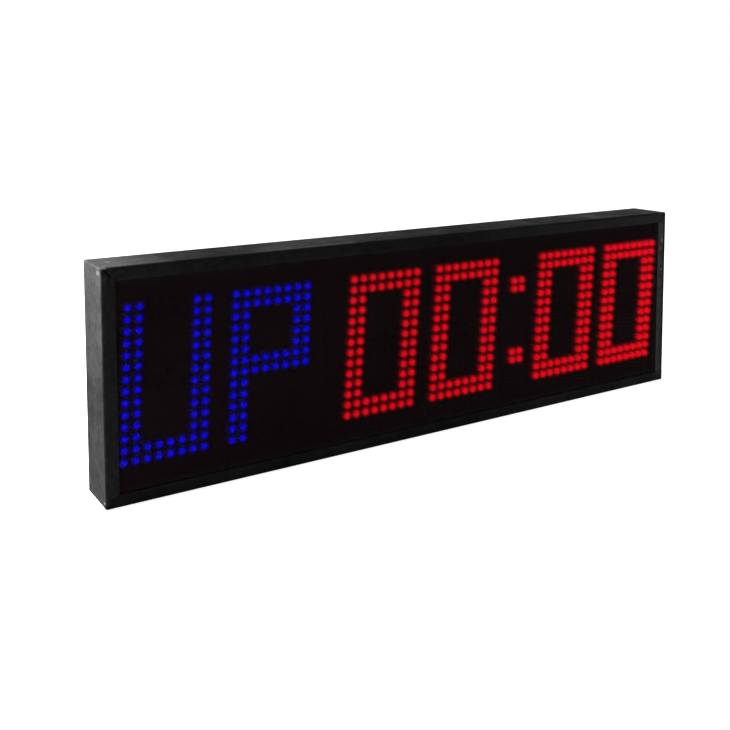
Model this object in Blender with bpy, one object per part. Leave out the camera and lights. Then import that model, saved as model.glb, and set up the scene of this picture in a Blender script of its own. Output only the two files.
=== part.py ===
"""LED interval timer for a gym wall: a mitred aluminium frame with a smoked front
sheet, three two-digit LED boards and a colon board in slots of the frame, and a
control board on the inside of the rear cover.

Metres, +Z up. The display faces -Y. The origin is the middle of the footprint on
the surface that the clock stands on. Lengths below are in millimetres: x is
measured from the left end of the casing as seen from the front, v is the depth
behind the front face, z is the height above the underside, and u is the distance
inwards from the outer face of a frame rail.
"""

import math

import bmesh
import bpy
from mathutils import Vector

MM = 0.001
GAP = 0.3  # clearance between pieces that touch

# casing
WIDTH = 493.0
HEIGHT = 148.0
DEPTH = 36.0
DEPTH_OVER_HANGERS = 40.0  # to the backs of the hangers

# frame rail section
WALL = 1.6
LIP = 8.4  # width of the front lip
LIP_T = 1.5
EDGE_R = 2.2  # rounding of the outer front edge
EDGE_SEGMENTS = 4
REAR_CHAMFER = 0.6
CORNER_R = 1.1  # rounding of the casing's corners, seen from the front
RIB = 5.0  # reach of the slot ribs
RIB_T = 1.2
FLANGE = 9.0  # reach of the rear flange
FLANGE_V = (29.5, 31.0)

# front sheet
LENS_V = (1.8, 3.8)
SHEET_EDGE = WALL + GAP  # where lens and cover stop, from the outer face

# LED boards
LED_TIP_V = 4.1
LED_HEIGHT = 8.0
LED_R = 2.5
LED_SIDES = 6
BOARD_T = 1.6
BOARD_V = LED_TIP_V + LED_HEIGHT
ROW_PITCH = 7.38  # between neighbouring LEDs, upright
BLUE, RED = (7.51, 2.58), (7.66, 3.8)  # column pitch and italic lean in degrees of each kind
COLUMNS, ROWS = 8, 14
DIGIT_AT = ((0.0, BLUE), (72.05, BLUE), (159.9, RED), (234.05, RED), (336.6, RED), (409.5, RED))
FIRST_LED_X = 13.05  # lowest left LED
TOP_ROW_Z = 73.21 + 6.5 * ROW_PITCH
COLON_AT = ((328.15, 45.1), (329.8, 101.4))  # middles of the two groups of four LEDs
COLON_PITCH = (7.4, 6.5)
BOARD_X = ((2.0, 158.1), (158.4, 315.5), (315.8, 343.0), (343.3, 491.0))
BOARD_Z = (2.0, 146.0)

# rear cover and control board
COVER_V = (31.3, 33.3)
MAIN_X = (191.5, 301.5)
MAIN_Z = (39.0, 109.0)
MAIN_V = (18.4, 20.0)
STANDOFF_AT = ((196.5, 44.0), (296.5, 44.0), (196.5, 104.0), (296.5, 104.0))
COVER_SCREW_AT = (
    (90.0, 142.5),
    (246.5, 142.5),
    (403.0, 142.5),
    (90.0, 5.5),
    (246.5, 5.5),
    (403.0, 5.5),
    (5.5, 74.0),
    (487.5, 74.0),
)

# controls on the rear
BUTTON_AT = (("set_button_mode", 206.5), ("set_button_up", 221.5), ("set_button_down", 236.5))
BUTTON_Z = 54.0
BUTTON_R = 3.5
BUTTON_TRAVEL = 0.5
JACK_AT = (264.0, 54.0)
JACK_HOLE_R = 4.5
SOCKET_R = 3.2
SWITCH_AT = (326.0, 54.0)
SWITCH_PIVOT_V = 32.6
SWITCH_TILT = math.radians(9.0)
SWITCH_CAP = (3.4, 5.3)  # half width and half length
BUZZER_AT = (282.0, 84.0)

# hangers
HANGER_X = (66.5, 426.5)
HANGER_Z = 133.0
HANGER_V = (35.4, 36.9)  # the pad round the pivot
HANGER_STEP = 3.1  # how far the keyhole end stands behind the pad, clear of the screw's head
HANGER_BEND = 8.0  # distance of the step from the pivot
HANGER_R = 9.0
HANGER_REACH = 30.0  # from the pivot to the middle of the round end
KEYHOLE_ENTRY = (24.0, 5.0)  # distance from the pivot, radius
KEYHOLE_SLOT = (33.0, 2.5)

for old in list(bpy.data.objects):
    bpy.data.objects.remove(old, do_unlink=True)

scene = bpy.context.scene


def at(x, v, z):
    """World position in metres of a point given in the casing's millimetres."""
    return Vector(((x - WIDTH / 2) * MM, (v - DEPTH_OVER_HANGERS / 2) * MM, z * MM))


def finish_of(name, colour, roughness, metallic=0.0, glow=0.0, clear=0.0):
    material = bpy.data.materials.get(name)
    if material:
        return material
    material = bpy.data.materials.new(name)
    material.use_nodes = True
    shader = material.node_tree.nodes["Principled BSDF"]
    shader.inputs["Base Color"].default_value = (*colour, 1.0)
    shader.inputs["Roughness"].default_value = roughness
    shader.inputs["Metallic"].default_value = metallic
    if glow:
        shader.inputs["Emission Color"].default_value = (*colour, 1.0)
        shader.inputs["Emission Strength"].default_value = glow
    if clear:
        shader.inputs["Alpha"].default_value = 1.0 - clear
    material.diffuse_color = (*colour, 1.0)
    return material


FINISHES = {
    "powder_coat": ((0.022, 0.022, 0.023), 0.62, 0.0),
    "smoked_acrylic": ((0.006, 0.004, 0.005), 0.12, 0.0, 0.0, 0.65),
    "blue_leds": ((0.01, 0.01, 0.72), 0.25, 0.0, 1.0),
    "red_leds": ((0.78, 0.01, 0.012), 0.25, 0.0, 1.0),
    "circuit_board": ((0.012, 0.05, 0.022), 0.5),
    "black_plastic": ((0.02, 0.02, 0.021), 0.45),
    "rocker_plastic": ((0.015, 0.015, 0.016), 0.3),
    "button_rubber": ((0.03, 0.03, 0.032), 0.7),
    "chip_resin": ((0.018, 0.018, 0.02), 0.55),
    "bare_aluminium": ((0.62, 0.63, 0.65), 0.35, 1.0),
    "zinc_steel": ((0.55, 0.56, 0.58), 0.32, 1.0),
    "black_steel": ((0.04, 0.04, 0.042), 0.42, 0.8),
    "brass": ((0.62, 0.45, 0.18), 0.3, 1.0),
    "cell_steel": ((0.66, 0.66, 0.67), 0.24, 1.0),
    "ribbon_grey": ((0.33, 0.33, 0.35), 0.5),
    "nylon": ((0.62, 0.6, 0.55), 0.5),
    "capacitor_sleeve": ((0.02, 0.03, 0.09), 0.35),
}


root = bpy.data.objects.new("clock", None)
root.empty_display_size = 0.05
scene.collection.objects.link(root)


def piece(name, shape, place, finish, parent=None, turn=None, sharp=35.0):
    """A named piece whose mesh is in metres round its own origin at place."""
    mesh = bpy.data.meshes.new(name)
    bmesh.ops.recalc_face_normals(shape, faces=shape.faces)
    shape.to_mesh(mesh)
    shape.free()
    return placed(name, mesh, place, finish, parent, turn, sharp)


def placed(name, mesh, place, finish, parent=None, turn=None, sharp=35.0):
    mesh.materials.clear()
    mesh.materials.append(finish_of(finish, *FINISHES[finish]))
    mesh.shade_smooth()
    mesh.set_sharp_from_angle(angle=math.radians(sharp))
    obj = bpy.data.objects.new(name, mesh)
    scene.collection.objects.link(obj)
    obj.parent = parent or root
    obj.location = place
    if turn:
        obj.rotation_euler = turn
    return obj


def helper(name, shape, place=(0.0, 0.0, 0.0)):
    """A cutter: left out of the built part."""
    mesh = bpy.data.meshes.new(name)
    bmesh.ops.recalc_face_normals(shape, faces=shape.faces)
    shape.to_mesh(mesh)
    shape.free()
    obj = bpy.data.objects.new(name, mesh)
    scene.collection.objects.link(obj)
    obj.parent = root
    obj.location = place
    obj.hide_render = True
    obj.display_type = "WIRE"
    return obj


def boolean(obj, operation, other, name):
    modifier = obj.modifiers.new(name, "BOOLEAN")
    modifier.operation = operation
    modifier.object = other
    modifier.solver = "EXACT"


def prism(outline, low, high, axis="Y"):
    """A closed outline in millimetres, extruded from low to high along axis."""
    order = {"Y": lambda a, b, c: (a, c, b), "X": lambda a, b, c: (c, a, b), "Z": lambda a, b, c: (a, b, c)}[axis]
    shape = bmesh.new()
    corners = [shape.verts.new(Vector(order(a, b, low)) * MM) for a, b in outline]
    face = shape.faces.new(corners)
    grown = bmesh.ops.extrude_face_region(shape, geom=[face])
    moved = [g for g in grown["geom"] if isinstance(g, bmesh.types.BMVert)]
    bmesh.ops.translate(shape, verts=moved, vec=Vector(order(0, 0, high - low)) * MM)
    return shape


def block(x, v, z):
    """A box between pairs of limits in millimetres."""
    return prism([(x[0], z[0]), (x[1], z[0]), (x[1], z[1]), (x[0], z[1])], v[0], v[1])


def ring_points(radius, count, centre=(0.0, 0.0), start=0.0):
    return [
        (
            centre[0] + radius * math.cos(start + 2 * math.pi * i / count),
            centre[1] + radius * math.sin(start + 2 * math.pi * i / count),
        )
        for i in range(count)
    ]


def round_bar(radius, low, high, count=24, centre=(0.0, 0.0), start=0.0):
    return prism(ring_points(radius, count, centre, start), low, high)


def turned(profile, count=24):
    """A profile of (radius, depth) in millimetres, from axis to axis, spun round Y."""
    shape = bmesh.new()
    line = [shape.verts.new(Vector((r, v, 0.0)) * MM) for r, v in profile]
    edges = [shape.edges.new(pair) for pair in zip(line, line[1:])]
    closed = profile[0] == profile[-1]
    bmesh.ops.spin(
        shape,
        geom=line + edges,
        cent=(0, 0, 0),
        axis=(0, 1, 0),
        angle=2 * math.pi,
        steps=count,
        use_merge=False,
    )
    bmesh.ops.remove_doubles(shape, verts=shape.verts, dist=1e-6)
    if not closed:
        bmesh.ops.dissolve_degenerate(shape, dist=1e-7, edges=shape.edges)
    return shape


def moved(shape, x=0.0, v=0.0, z=0.0):
    bmesh.ops.translate(shape, verts=shape.verts, vec=Vector((x, v, z)) * MM)
    return shape


def joined(*shapes):
    """Several shapes as loose parts of one mesh."""
    whole = bmesh.new()
    for shape in shapes:
        mesh = bpy.data.meshes.new("loose")
        bmesh.ops.recalc_face_normals(shape, faces=shape.faces)
        shape.to_mesh(mesh)
        shape.free()
        whole.from_mesh(mesh)
        bpy.data.meshes.remove(mesh)
    return whole


def rounded_outline(half_x, half_z, radius, segments):
    outline = []
    for sx, sz, start in ((1, 1, 0), (-1, 1, 90), (-1, -1, 180), (1, -1, 270)):
        for i in range(segments + 1):
            a = math.radians(start + 90 * i / segments)
            outline.append(
                (
                    sx * (half_x - radius) + radius * math.cos(a),
                    sz * (half_z - radius) + radius * math.sin(a),
                )
            )
    return outline


# ---------------------------------------------------------------- frame rails


def rail_section():
    """Points (u, v) of the extrusion: outer wall, front lip, ribs of the sheet slot
    and of the board slot, and the flange that the rear cover is screwed to."""
    points = []
    for i in range(EDGE_SEGMENTS + 1):
        a = math.radians(90 * i / EDGE_SEGMENTS)
        points.append((EDGE_R - EDGE_R * math.cos(a), EDGE_R - EDGE_R * math.sin(a)))
    points += [(LIP - 0.4, 0.0), (LIP, 0.4), (LIP, LIP_T), (WALL, LIP_T)]
    slots = (
        LENS_V[1] + GAP,  # behind the front sheet
        BOARD_V - GAP - RIB_T,  # before the LED boards
        BOARD_V + BOARD_T + GAP,  # behind the LED boards
    )
    for v in slots:
        points += [(WALL, v), (RIB, v), (RIB, v + RIB_T), (WALL, v + RIB_T)]
    points += [(WALL, FLANGE_V[0]), (FLANGE, FLANGE_V[0]), (FLANGE, FLANGE_V[1]), (WALL, FLANGE_V[1])]
    points += [(WALL, DEPTH), (REAR_CHAMFER, DEPTH), (0.0, DEPTH - REAR_CHAMFER)]
    return points


MITRE_GAP = GAP / math.sqrt(2)


def rail(name, length, place, turn):
    """A rail whose length runs along its X and whose outer face is its +Z side."""
    section = rail_section()
    shape = bmesh.new()
    ends = []
    for side in (-1, 1):
        ends.append(
            [
                shape.verts.new(Vector((side * (length / 2 - u - MITRE_GAP), v, -u)) * MM)
                for u, v in section
            ]
        )
    shape.faces.new(ends[0])
    shape.faces.new(ends[1])
    for i in range(len(section)):
        j = (i + 1) % len(section)
        shape.faces.new((ends[0][i], ends[0][j], ends[1][j], ends[1][i]))
    return piece(name, shape, place, "powder_coat", turn=turn)


front_y = at(0, 0, 0).y
rails = {
    "frame_top": rail("frame_top", WIDTH, (0, front_y, HEIGHT * MM), (0, 0, 0)),
    "frame_bottom": rail("frame_bottom", WIDTH, (0, front_y, 0), (0, math.pi, 0)),
    "frame_left": rail(
        "frame_left", HEIGHT, (-WIDTH / 2 * MM, front_y, HEIGHT / 2 * MM), (0, -math.pi / 2, 0)
    ),
    "frame_right": rail(
        "frame_right", HEIGHT, (WIDTH / 2 * MM, front_y, HEIGHT / 2 * MM), (0, math.pi / 2, 0)
    ),
}

corner_cutter = helper(
    "corner_round_guide",
    prism(rounded_outline(WIDTH / 2, HEIGHT / 2, CORNER_R, 5), -30, 30),
    (0, 0, HEIGHT / 2 * MM),
)
flange_drill = helper(
    "flange_drill",
    joined(
        *[
            round_bar(1.7, FLANGE_V[0] - 2, FLANGE_V[1] + 0.1, 12, (x - WIDTH / 2, z))
            for x, z in COVER_SCREW_AT
        ]
    ),
    (0, front_y, 0),
)
for obj in rails.values():
    boolean(obj, "INTERSECT", corner_cutter, "round the corners")
    boolean(obj, "DIFFERENCE", flange_drill, "screw holes")


# ---------------------------------------------------------------- corner keys

KEY_T, KEY_LEG, KEY_V = 2.5, 26.0, (16.0, 28.5)
a, b, c = SHEET_EDGE, SHEET_EDGE + KEY_T, SHEET_EDGE + KEY_LEG
key_outline = [(a, a), (c, a), (c, b), (b, b), (b, c), (a, c)]
for name, sx, sz in (
    ("corner_key_bottom_left", 1, 1),
    ("corner_key_bottom_right", -1, 1),
    ("corner_key_top_left", 1, -1),
    ("corner_key_top_right", -1, -1),
):
    corner = at(0 if sx > 0 else WIDTH, 0, 0 if sz > 0 else HEIGHT)
    piece(
        name,
        prism([(sx * p, sz * q) for p, q in key_outline], *KEY_V),
        corner,
        "bare_aluminium",
    )


# ---------------------------------------------------------------- front sheet

half_x, half_z = WIDTH / 2 - SHEET_EDGE, HEIGHT / 2 - SHEET_EDGE
piece(
    "front_lens",
    prism([(-half_x, -half_z), (half_x, -half_z), (half_x, half_z), (-half_x, half_z)], *LENS_V),
    at(WIDTH / 2, 0, HEIGHT / 2),
    "smoked_acrylic",
)


# ---------------------------------------------------------------- LED boards


def digit_leds(left, kind):
    """Places of the 80 LEDs of one digit: seven strokes two LEDs wide, leaning right."""
    pitch, lean = kind[0], math.tan(math.radians(kind[1]))
    places = []
    for row in range(ROWS):
        for column in range(COLUMNS):
            stroke = column < 2 or column > 5 or row < 2 or row in (6, 7) or row > 11
            if stroke:
                rise = (ROWS - 1 - row) * ROW_PITCH
                across = FIRST_LED_X + left + column * pitch + rise * lean
                places.append((across, TOP_ROW_Z - row * ROW_PITCH))
    return places


def colon_leds():
    return [
        (x + i * COLON_PITCH[0] / 2, z + j * COLON_PITCH[1] / 2)
        for x, z in COLON_AT
        for i in (-1, 1)
        for j in (-1, 1)
    ]


def led_board(name, limits, places, finish, chips):
    """A board standing in the frame's slots with its LEDs and driver chips."""
    middle = (limits[0] + limits[1]) / 2
    board = piece(
        name,
        block((limits[0] - middle, limits[1] - middle), (BOARD_V, BOARD_V + BOARD_T), BOARD_Z),
        at(middle, 0, 0),
        finish,
    )
    leds = [
        round_bar(LED_R, LED_TIP_V, BOARD_V + BOARD_T / 2, LED_SIDES, (x - middle, z), math.pi / 6)
        for x, z in places
    ]
    backs = [
        block((x - middle - 5, x - middle + 5), (BOARD_V + BOARD_T / 2, BOARD_V + BOARD_T + 1.8), (z - 3, z + 3))
        for x, z in chips
    ]
    extras = helper(name + "_fittings", joined(*(leds + backs)), at(middle, 0, 0))
    boolean(board, "UNION", extras, "LEDs and chips")
    return board


digits = [digit_leds(left, kind) for left, kind in DIGIT_AT]
led_board("led_board_left", BOARD_X[0], digits[0] + digits[1], "blue_leds", [(50, 100), (110, 100)])
led_board("led_board_centre", BOARD_X[1], digits[2] + digits[3], "red_leds", [(215, 122), (275, 122)])
led_board("colon_board", BOARD_X[2], colon_leds(), "red_leds", [])
led_board("led_board_right", BOARD_X[3], digits[4] + digits[5], "red_leds", [(380, 100), (440, 100)])

eye = joined(
    block((-3.0, 3.0), (8.0, BOARD_V - GAP), (-3.6, 3.6)),
)
ir = piece("ir_receiver", eye, at(240.0, 0, 14.5), "chip_resin")
dome = helper(
    "ir_dome",
    moved(turned([(0, 5.6), (1.3, 5.9), (2.1, 6.7), (2.4, 8.0), (2.4, 9.0), (0, 9.0)], 14)),
    at(240.0, 0, 14.5),
)
boolean(ir, "UNION", dome, "dome")


# ---------------------------------------------------------------- control board

main = piece("main_board", block(MAIN_X, MAIN_V, MAIN_Z), at(0, 0, 0), "circuit_board")
main_drill = helper(
    "main_board_drill",
    joined(*[round_bar(1.7, MAIN_V[0] - 1, MAIN_V[1] + 1, 12, (x, z)) for x, z in STANDOFF_AT]),
    at(0, 0, 0),
)
boolean(main, "DIFFERENCE", main_drill, "screw holes")

ON_BOARD = MAIN_V[1] + GAP
UNDER_COVER = COVER_V[0] - GAP

for number, (x, z) in enumerate(STANDOFF_AT, 1):
    post = prism(ring_points(3.0, 6), ON_BOARD, UNDER_COVER)
    standoff = piece(f"board_standoff_{number}", post, at(x, 0, z), "brass")
    bore = helper(
        f"standoff_bore_{number}", round_bar(1.7, ON_BOARD - 1, ON_BOARD + 6.0, 12), at(x, 0, z)
    )
    boolean(standoff, "DIFFERENCE", bore, "thread")
    screw = turned(
        [(0, 16.1), (2.2, 16.3), (2.75, 17.0), (2.75, 18.1), (1.4, 18.1), (1.4, 25.6), (0, 25.6)], 14
    )
    piece(f"board_screw_{number}", screw, at(x, 0, z), "zinc_steel")

piece("mcu_chip", block((-5, 5), (ON_BOARD, ON_BOARD + 1.4), (-5, 5)), at(246.0, 0, 82.0), "chip_resin")

buzzer = turned(
    [
        (0, ON_BOARD),
        (6.0, ON_BOARD),
        (6.0, 29.2),
        (5.6, 29.6),
        (1.1, 29.6),
        (1.1, 26.6),
        (0, 26.6),
    ],
    20,
)
piece("buzzer", buzzer, at(BUZZER_AT[0], 0, BUZZER_AT[1]), "black_plastic")

piece(
    "filter_capacitor",
    turned([(0, ON_BOARD), (4.0, ON_BOARD), (4.0, 30.0), (3.6, 30.4), (0, 30.4)], 16),
    at(282.0, 0, 101.0),
    "capacitor_sleeve",
)

CELL_AT, CELL_R = (217.0, 84.0), 10.0
holder = piece(
    "coin_cell_holder",
    block((-12.0, 12.0), (ON_BOARD, ON_BOARD + 4.6), (-12.0, 12.0)),
    at(CELL_AT[0], 0, CELL_AT[1]),
    "black_plastic",
)
pocket = helper(
    "cell_pocket",
    round_bar(CELL_R + GAP, ON_BOARD + 1.2, ON_BOARD + 6, 32),
    at(CELL_AT[0], 0, CELL_AT[1]),
)
boolean(holder, "DIFFERENCE", pocket, "pocket")
notch = helper(
    "cell_notch",
    block((-5.0, 5.0), (ON_BOARD + 2.2, ON_BOARD + 6), (6.0, 14.0)),
    at(CELL_AT[0], 0, CELL_AT[1]),
)
boolean(holder, "DIFFERENCE", notch, "thumb notch")
piece(
    "coin_cell",
    turned([(0, ON_BOARD + 1.5), (8.6, ON_BOARD + 1.5), (9.2, ON_BOARD + 2.1), (CELL_R, ON_BOARD + 2.3), (CELL_R, ON_BOARD + 4.7), (0, ON_BOARD + 4.7)], 32),
    at(CELL_AT[0], 0, CELL_AT[1]),
    "cell_steel",
)


# ---------------------------------------------------------------- power socket

jack = piece(
    "dc_jack",
    block((-4.6, 4.6), (ON_BOARD, UNDER_COVER), (-5.6, 5.6)),
    at(JACK_AT[0], 0, JACK_AT[1]),
    "black_plastic",
)
socket = helper(
    "socket_bore",
    turned(
        [
            (0, ON_BOARD - 1),
            (1.3, ON_BOARD - 1),
            (1.3, 22.0),
            (SOCKET_R, 22.0),
            (SOCKET_R, UNDER_COVER + 1),
            (0, UNDER_COVER + 1),
        ],
        20,
    ),
    at(JACK_AT[0], 0, JACK_AT[1]),
)
boolean(jack, "DIFFERENCE", socket, "socket")
piece(
    "dc_jack_pin",
    turned([(0, ON_BOARD + GAP), (1.0, ON_BOARD + GAP), (1.0, 29.5), (0.6, 30.0), (0, 30.0)], 12),
    at(JACK_AT[0], 0, JACK_AT[1]),
    "zinc_steel",
)


# ---------------------------------------------------------------- links between boards


def link(name, x_at, z_limits, plug_a, plug_b, path, thickness):
    """A flat lead with a plug at each end, as one outline in (x, v) extruded along Z.
    plug_a is (x low, x high, v low, v high) at the left end, plug_b at the right."""
    upper = [(x, v - thickness / 2) for x, v in path]
    lower = [(x, v + thickness / 2) for x, v in path]
    outline = (
        [(plug_a[0], plug_a[3]), (plug_a[0], plug_a[2]), (plug_a[1], plug_a[2])]
        + upper
        + [(plug_b[0], plug_b[2]), (plug_b[1], plug_b[2]), (plug_b[1], plug_b[3]), (plug_b[0], plug_b[3])]
        + lower[::-1]
        + [(plug_a[1], plug_a[3])]
    )
    shape = prism([(x - x_at, v) for x, v in outline], z_limits[0], z_limits[1], "Z")
    return piece(name, shape, at(x_at, 0, 0), "ribbon_grey")


BEHIND_LEDS = BOARD_V + BOARD_T + GAP
BEFORE_MAIN = MAIN_V[0] - GAP


def slack(x0, v0, x1, v1, rise, count=9):
    """A line of points from one plug to the other that bows backwards by rise."""
    points = []
    for i in range(count):
        t = i / (count - 1)
        ease = t * t * (3 - 2 * t)
        points.append((x0 + (x1 - x0) * t, v0 + (v1 - v0) * ease + rise * math.sin(math.pi * t)))
    return points


link(
    "ribbon_left",
    170.0,
    (66.0, 84.0),
    (134.0, 140.0, BEHIND_LEDS, BEHIND_LEDS + 5.4),
    (204.0, 210.0, BEFORE_MAIN - 3.6, BEFORE_MAIN),
    slack(140.0, 17.2, 204.0, 16.3, 1.0),
    0.9,
)
link(
    "ribbon_right",
    323.0,
    (66.0, 84.0),
    (283.0, 289.0, BEFORE_MAIN - 3.6, BEFORE_MAIN),
    (352.0, 358.0, BEHIND_LEDS, BEHIND_LEDS + 5.4),
    slack(289.0, 16.3, 352.0, 17.2, 1.0),
    0.9,
)
link(
    "colon_link",
    316.0,
    (118.0, 124.0),
    (303.0, 307.0, BEHIND_LEDS, BEHIND_LEDS + 3.4),
    (325.0, 329.0, BEHIND_LEDS, BEHIND_LEDS + 3.4),
    slack(307.0, 15.8, 325.0, 15.8, 1.4, 7),
    0.9,
)
piece(
    "header_link",
    block((-12.7, 12.7), (BEHIND_LEDS, BEFORE_MAIN), (-2.5, 2.5)),
    at(246.5, 0, 98.0),
    "black_plastic",
)


# ---------------------------------------------------------------- rear cover

cover = piece(
    "rear_cover",
    prism([(-half_x, -half_z), (half_x, -half_z), (half_x, half_z), (-half_x, half_z)], *COVER_V),
    at(WIDTH / 2, 0, HEIGHT / 2),
    "powder_coat",
)
low, high = COVER_V[0] - 1, COVER_V[1] + 1
cuts = [round_bar(1.7, low, high, 12, (x, z)) for x, z in COVER_SCREW_AT]
cuts += [round_bar(2.3, low, high, 16, (x, HANGER_Z)) for x in HANGER_X]
cuts += [round_bar(BUTTON_R + GAP, low, high, 20, (x, BUTTON_Z)) for _, x in BUTTON_AT]
cuts.append(round_bar(JACK_HOLE_R, low, high, 24, JACK_AT))
sx, sz = SWITCH_AT
cuts.append(block((sx - 4.8, sx + 4.8), (low, high), (sz - 7.05, sz + 7.05)))
for i in range(5):
    x = BUZZER_AT[0] + (i - 2) * 3.2
    half = 5.5 - 1.1 * abs(i - 2)
    cuts.append(block((x - 0.8, x + 0.8), (low, high), (BUZZER_AT[1] - half, BUZZER_AT[1] + half)))
boolean(cover, "DIFFERENCE", helper("cover_cuts", joined(*cuts), at(0, 0, 0)), "openings")

screw_mesh = None
for number, (x, z) in enumerate(COVER_SCREW_AT, 1):
    name = f"cover_screw_{number}"
    if screw_mesh is None:
        profile = [
            (0, 28.0),
            (1.4, 28.0),
            (1.4, COVER_V[1] + GAP),
            (2.8, COVER_V[1] + GAP),
            (2.8, 34.6),
            (2.1, 35.2),
            (0, 35.2),
        ]
        screw_mesh = piece(name, turned(profile, 14), at(x, 0, z), "black_steel").data
    else:
        placed(name, screw_mesh, at(x, 0, z), "black_steel")


# ---------------------------------------------------------------- rocker switch

housing = piece(
    "switch_housing",
    prism(rounded_outline(5.75, 8.2, 1.0, 3), COVER_V[1] + GAP, 35.2),
    at(SWITCH_AT[0], 0, SWITCH_AT[1]),
    "black_plastic",
)
housing_body = helper(
    "switch_body",
    block((-4.5, 4.5), (21.5, 34.4), (-6.75, 6.75)),
    at(SWITCH_AT[0], 0, SWITCH_AT[1]),
)
boolean(housing, "UNION", housing_body, "body")
well = helper(
    "switch_well",
    block((-3.7, 3.7), (28.6, 37.0), (-5.95, 5.95)),
    at(SWITCH_AT[0], 0, SWITCH_AT[1]),
)
boolean(housing, "DIFFERENCE", well, "well")
pivot_place = at(SWITCH_AT[0], SWITCH_PIVOT_V, SWITCH_AT[1])
pivot_holes = helper("switch_pivot_holes", prism(ring_points(1.1, 12), -5.5, 5.5, "X"), pivot_place)
boolean(housing, "DIFFERENCE", pivot_holes, "pivot holes")

hx, hz = SWITCH_CAP
rise = 3.3 + hz * math.tan(SWITCH_TILT)
cap_outline = [
    (-hz, -1.6),
    (-3.4, -3.0),
    (3.4, -3.0),
    (hz, -1.6),
    (hz, rise),
    (0.0, 3.3),
    (-hz, rise),
]
# outline is (height, depth) about the pivot; the cap tilts about X, upper end pressed
cap = piece(
    "switch_rocker",
    prism([(d, h) for h, d in cap_outline], -hx, hx, "X"),
    pivot_place,
    "rocker_plastic",
    turn=(SWITCH_TILT, 0, 0),
)
trunnion = helper("rocker_trunnion", prism(ring_points(0.8, 12), -4.1, 4.1, "X"), pivot_place)
boolean(cap, "UNION", trunnion, "trunnion")


# ---------------------------------------------------------------- set buttons

TACT_TOP = 24.6
for number, (name, x) in enumerate(BUTTON_AT, 1):
    tact = piece(
        f"tact_switch_{number}",
        block((-3.0, 3.0), (ON_BOARD, ON_BOARD + 3.5), (-3.0, 3.0)),
        at(x, 0, BUTTON_Z),
        "chip_resin",
    )
    plunger = helper(f"tact_plunger_{number}", round_bar(1.7, ON_BOARD + 2, TACT_TOP, 12), at(x, 0, BUTTON_Z))
    boolean(tact, "UNION", plunger, "plunger")
    stem_end = TACT_TOP + BUTTON_TRAVEL + 0.1
    profile = [
        (0, stem_end),
        (1.75, stem_end),
        (1.75, 29.7),
        (4.7, 29.7),
        (4.7, UNDER_COVER),
        (BUTTON_R, UNDER_COVER),
        (BUTTON_R, 34.5),
        (BUTTON_R - 0.5, 34.9),
        (0, 35.0),
    ]
    piece(name, turned(profile, 20), at(x, 0, BUTTON_Z), "button_rubber")


# ---------------------------------------------------------------- hangers


def hanger_profile():
    """Side view of the sheet as (depth, height) about the pivot: the pad, a step at 45
    degrees, and the keyhole end."""
    half_t = (HANGER_V[1] - HANGER_V[0]) / 2
    shift = 2 * half_t * math.tan(math.radians(22.5))
    top, bottom = HANGER_R + 2, -HANGER_REACH - HANGER_R - 2
    return [
        (-half_t, top),
        (-half_t, -HANGER_BEND),
        (HANGER_STEP - half_t, -HANGER_BEND - HANGER_STEP),
        (HANGER_STEP - half_t, bottom),
        (HANGER_STEP + half_t, bottom),
        (HANGER_STEP + half_t, -HANGER_BEND - HANGER_STEP + shift),
        (half_t, -HANGER_BEND + shift),
        (half_t, top),
    ]


def hanger_outline():
    """Rear view of a tab with round ends, hanging down from its pivot at the origin."""
    outline = []
    for i in range(13):
        angle = math.pi * i / 12
        outline.append((HANGER_R * math.cos(angle), HANGER_R * math.sin(angle)))
    for i in range(13):
        angle = math.pi + math.pi * i / 12
        outline.append((HANGER_R * math.cos(angle), -HANGER_REACH + HANGER_R * math.sin(angle)))
    return outline


def keyhole_outline():
    """A round entry with a narrow slot beyond it, seen from the pivot."""
    entry, entry_r = KEYHOLE_ENTRY
    slot, slot_r = KEYHOLE_SLOT
    start = math.asin(slot_r / entry_r)
    outline = []
    for i in range(17):
        angle = start + (2 * math.pi - 2 * start) * i / 16
        # measured from the slot's direction, which is away from the pivot
        outline.append((entry_r * math.sin(angle), -entry - entry_r * math.cos(angle)))
    for i in range(9):
        angle = math.pi * i / 8
        outline.append((-slot_r * math.cos(angle), -slot - slot_r * math.sin(angle)))
    return outline


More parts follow.
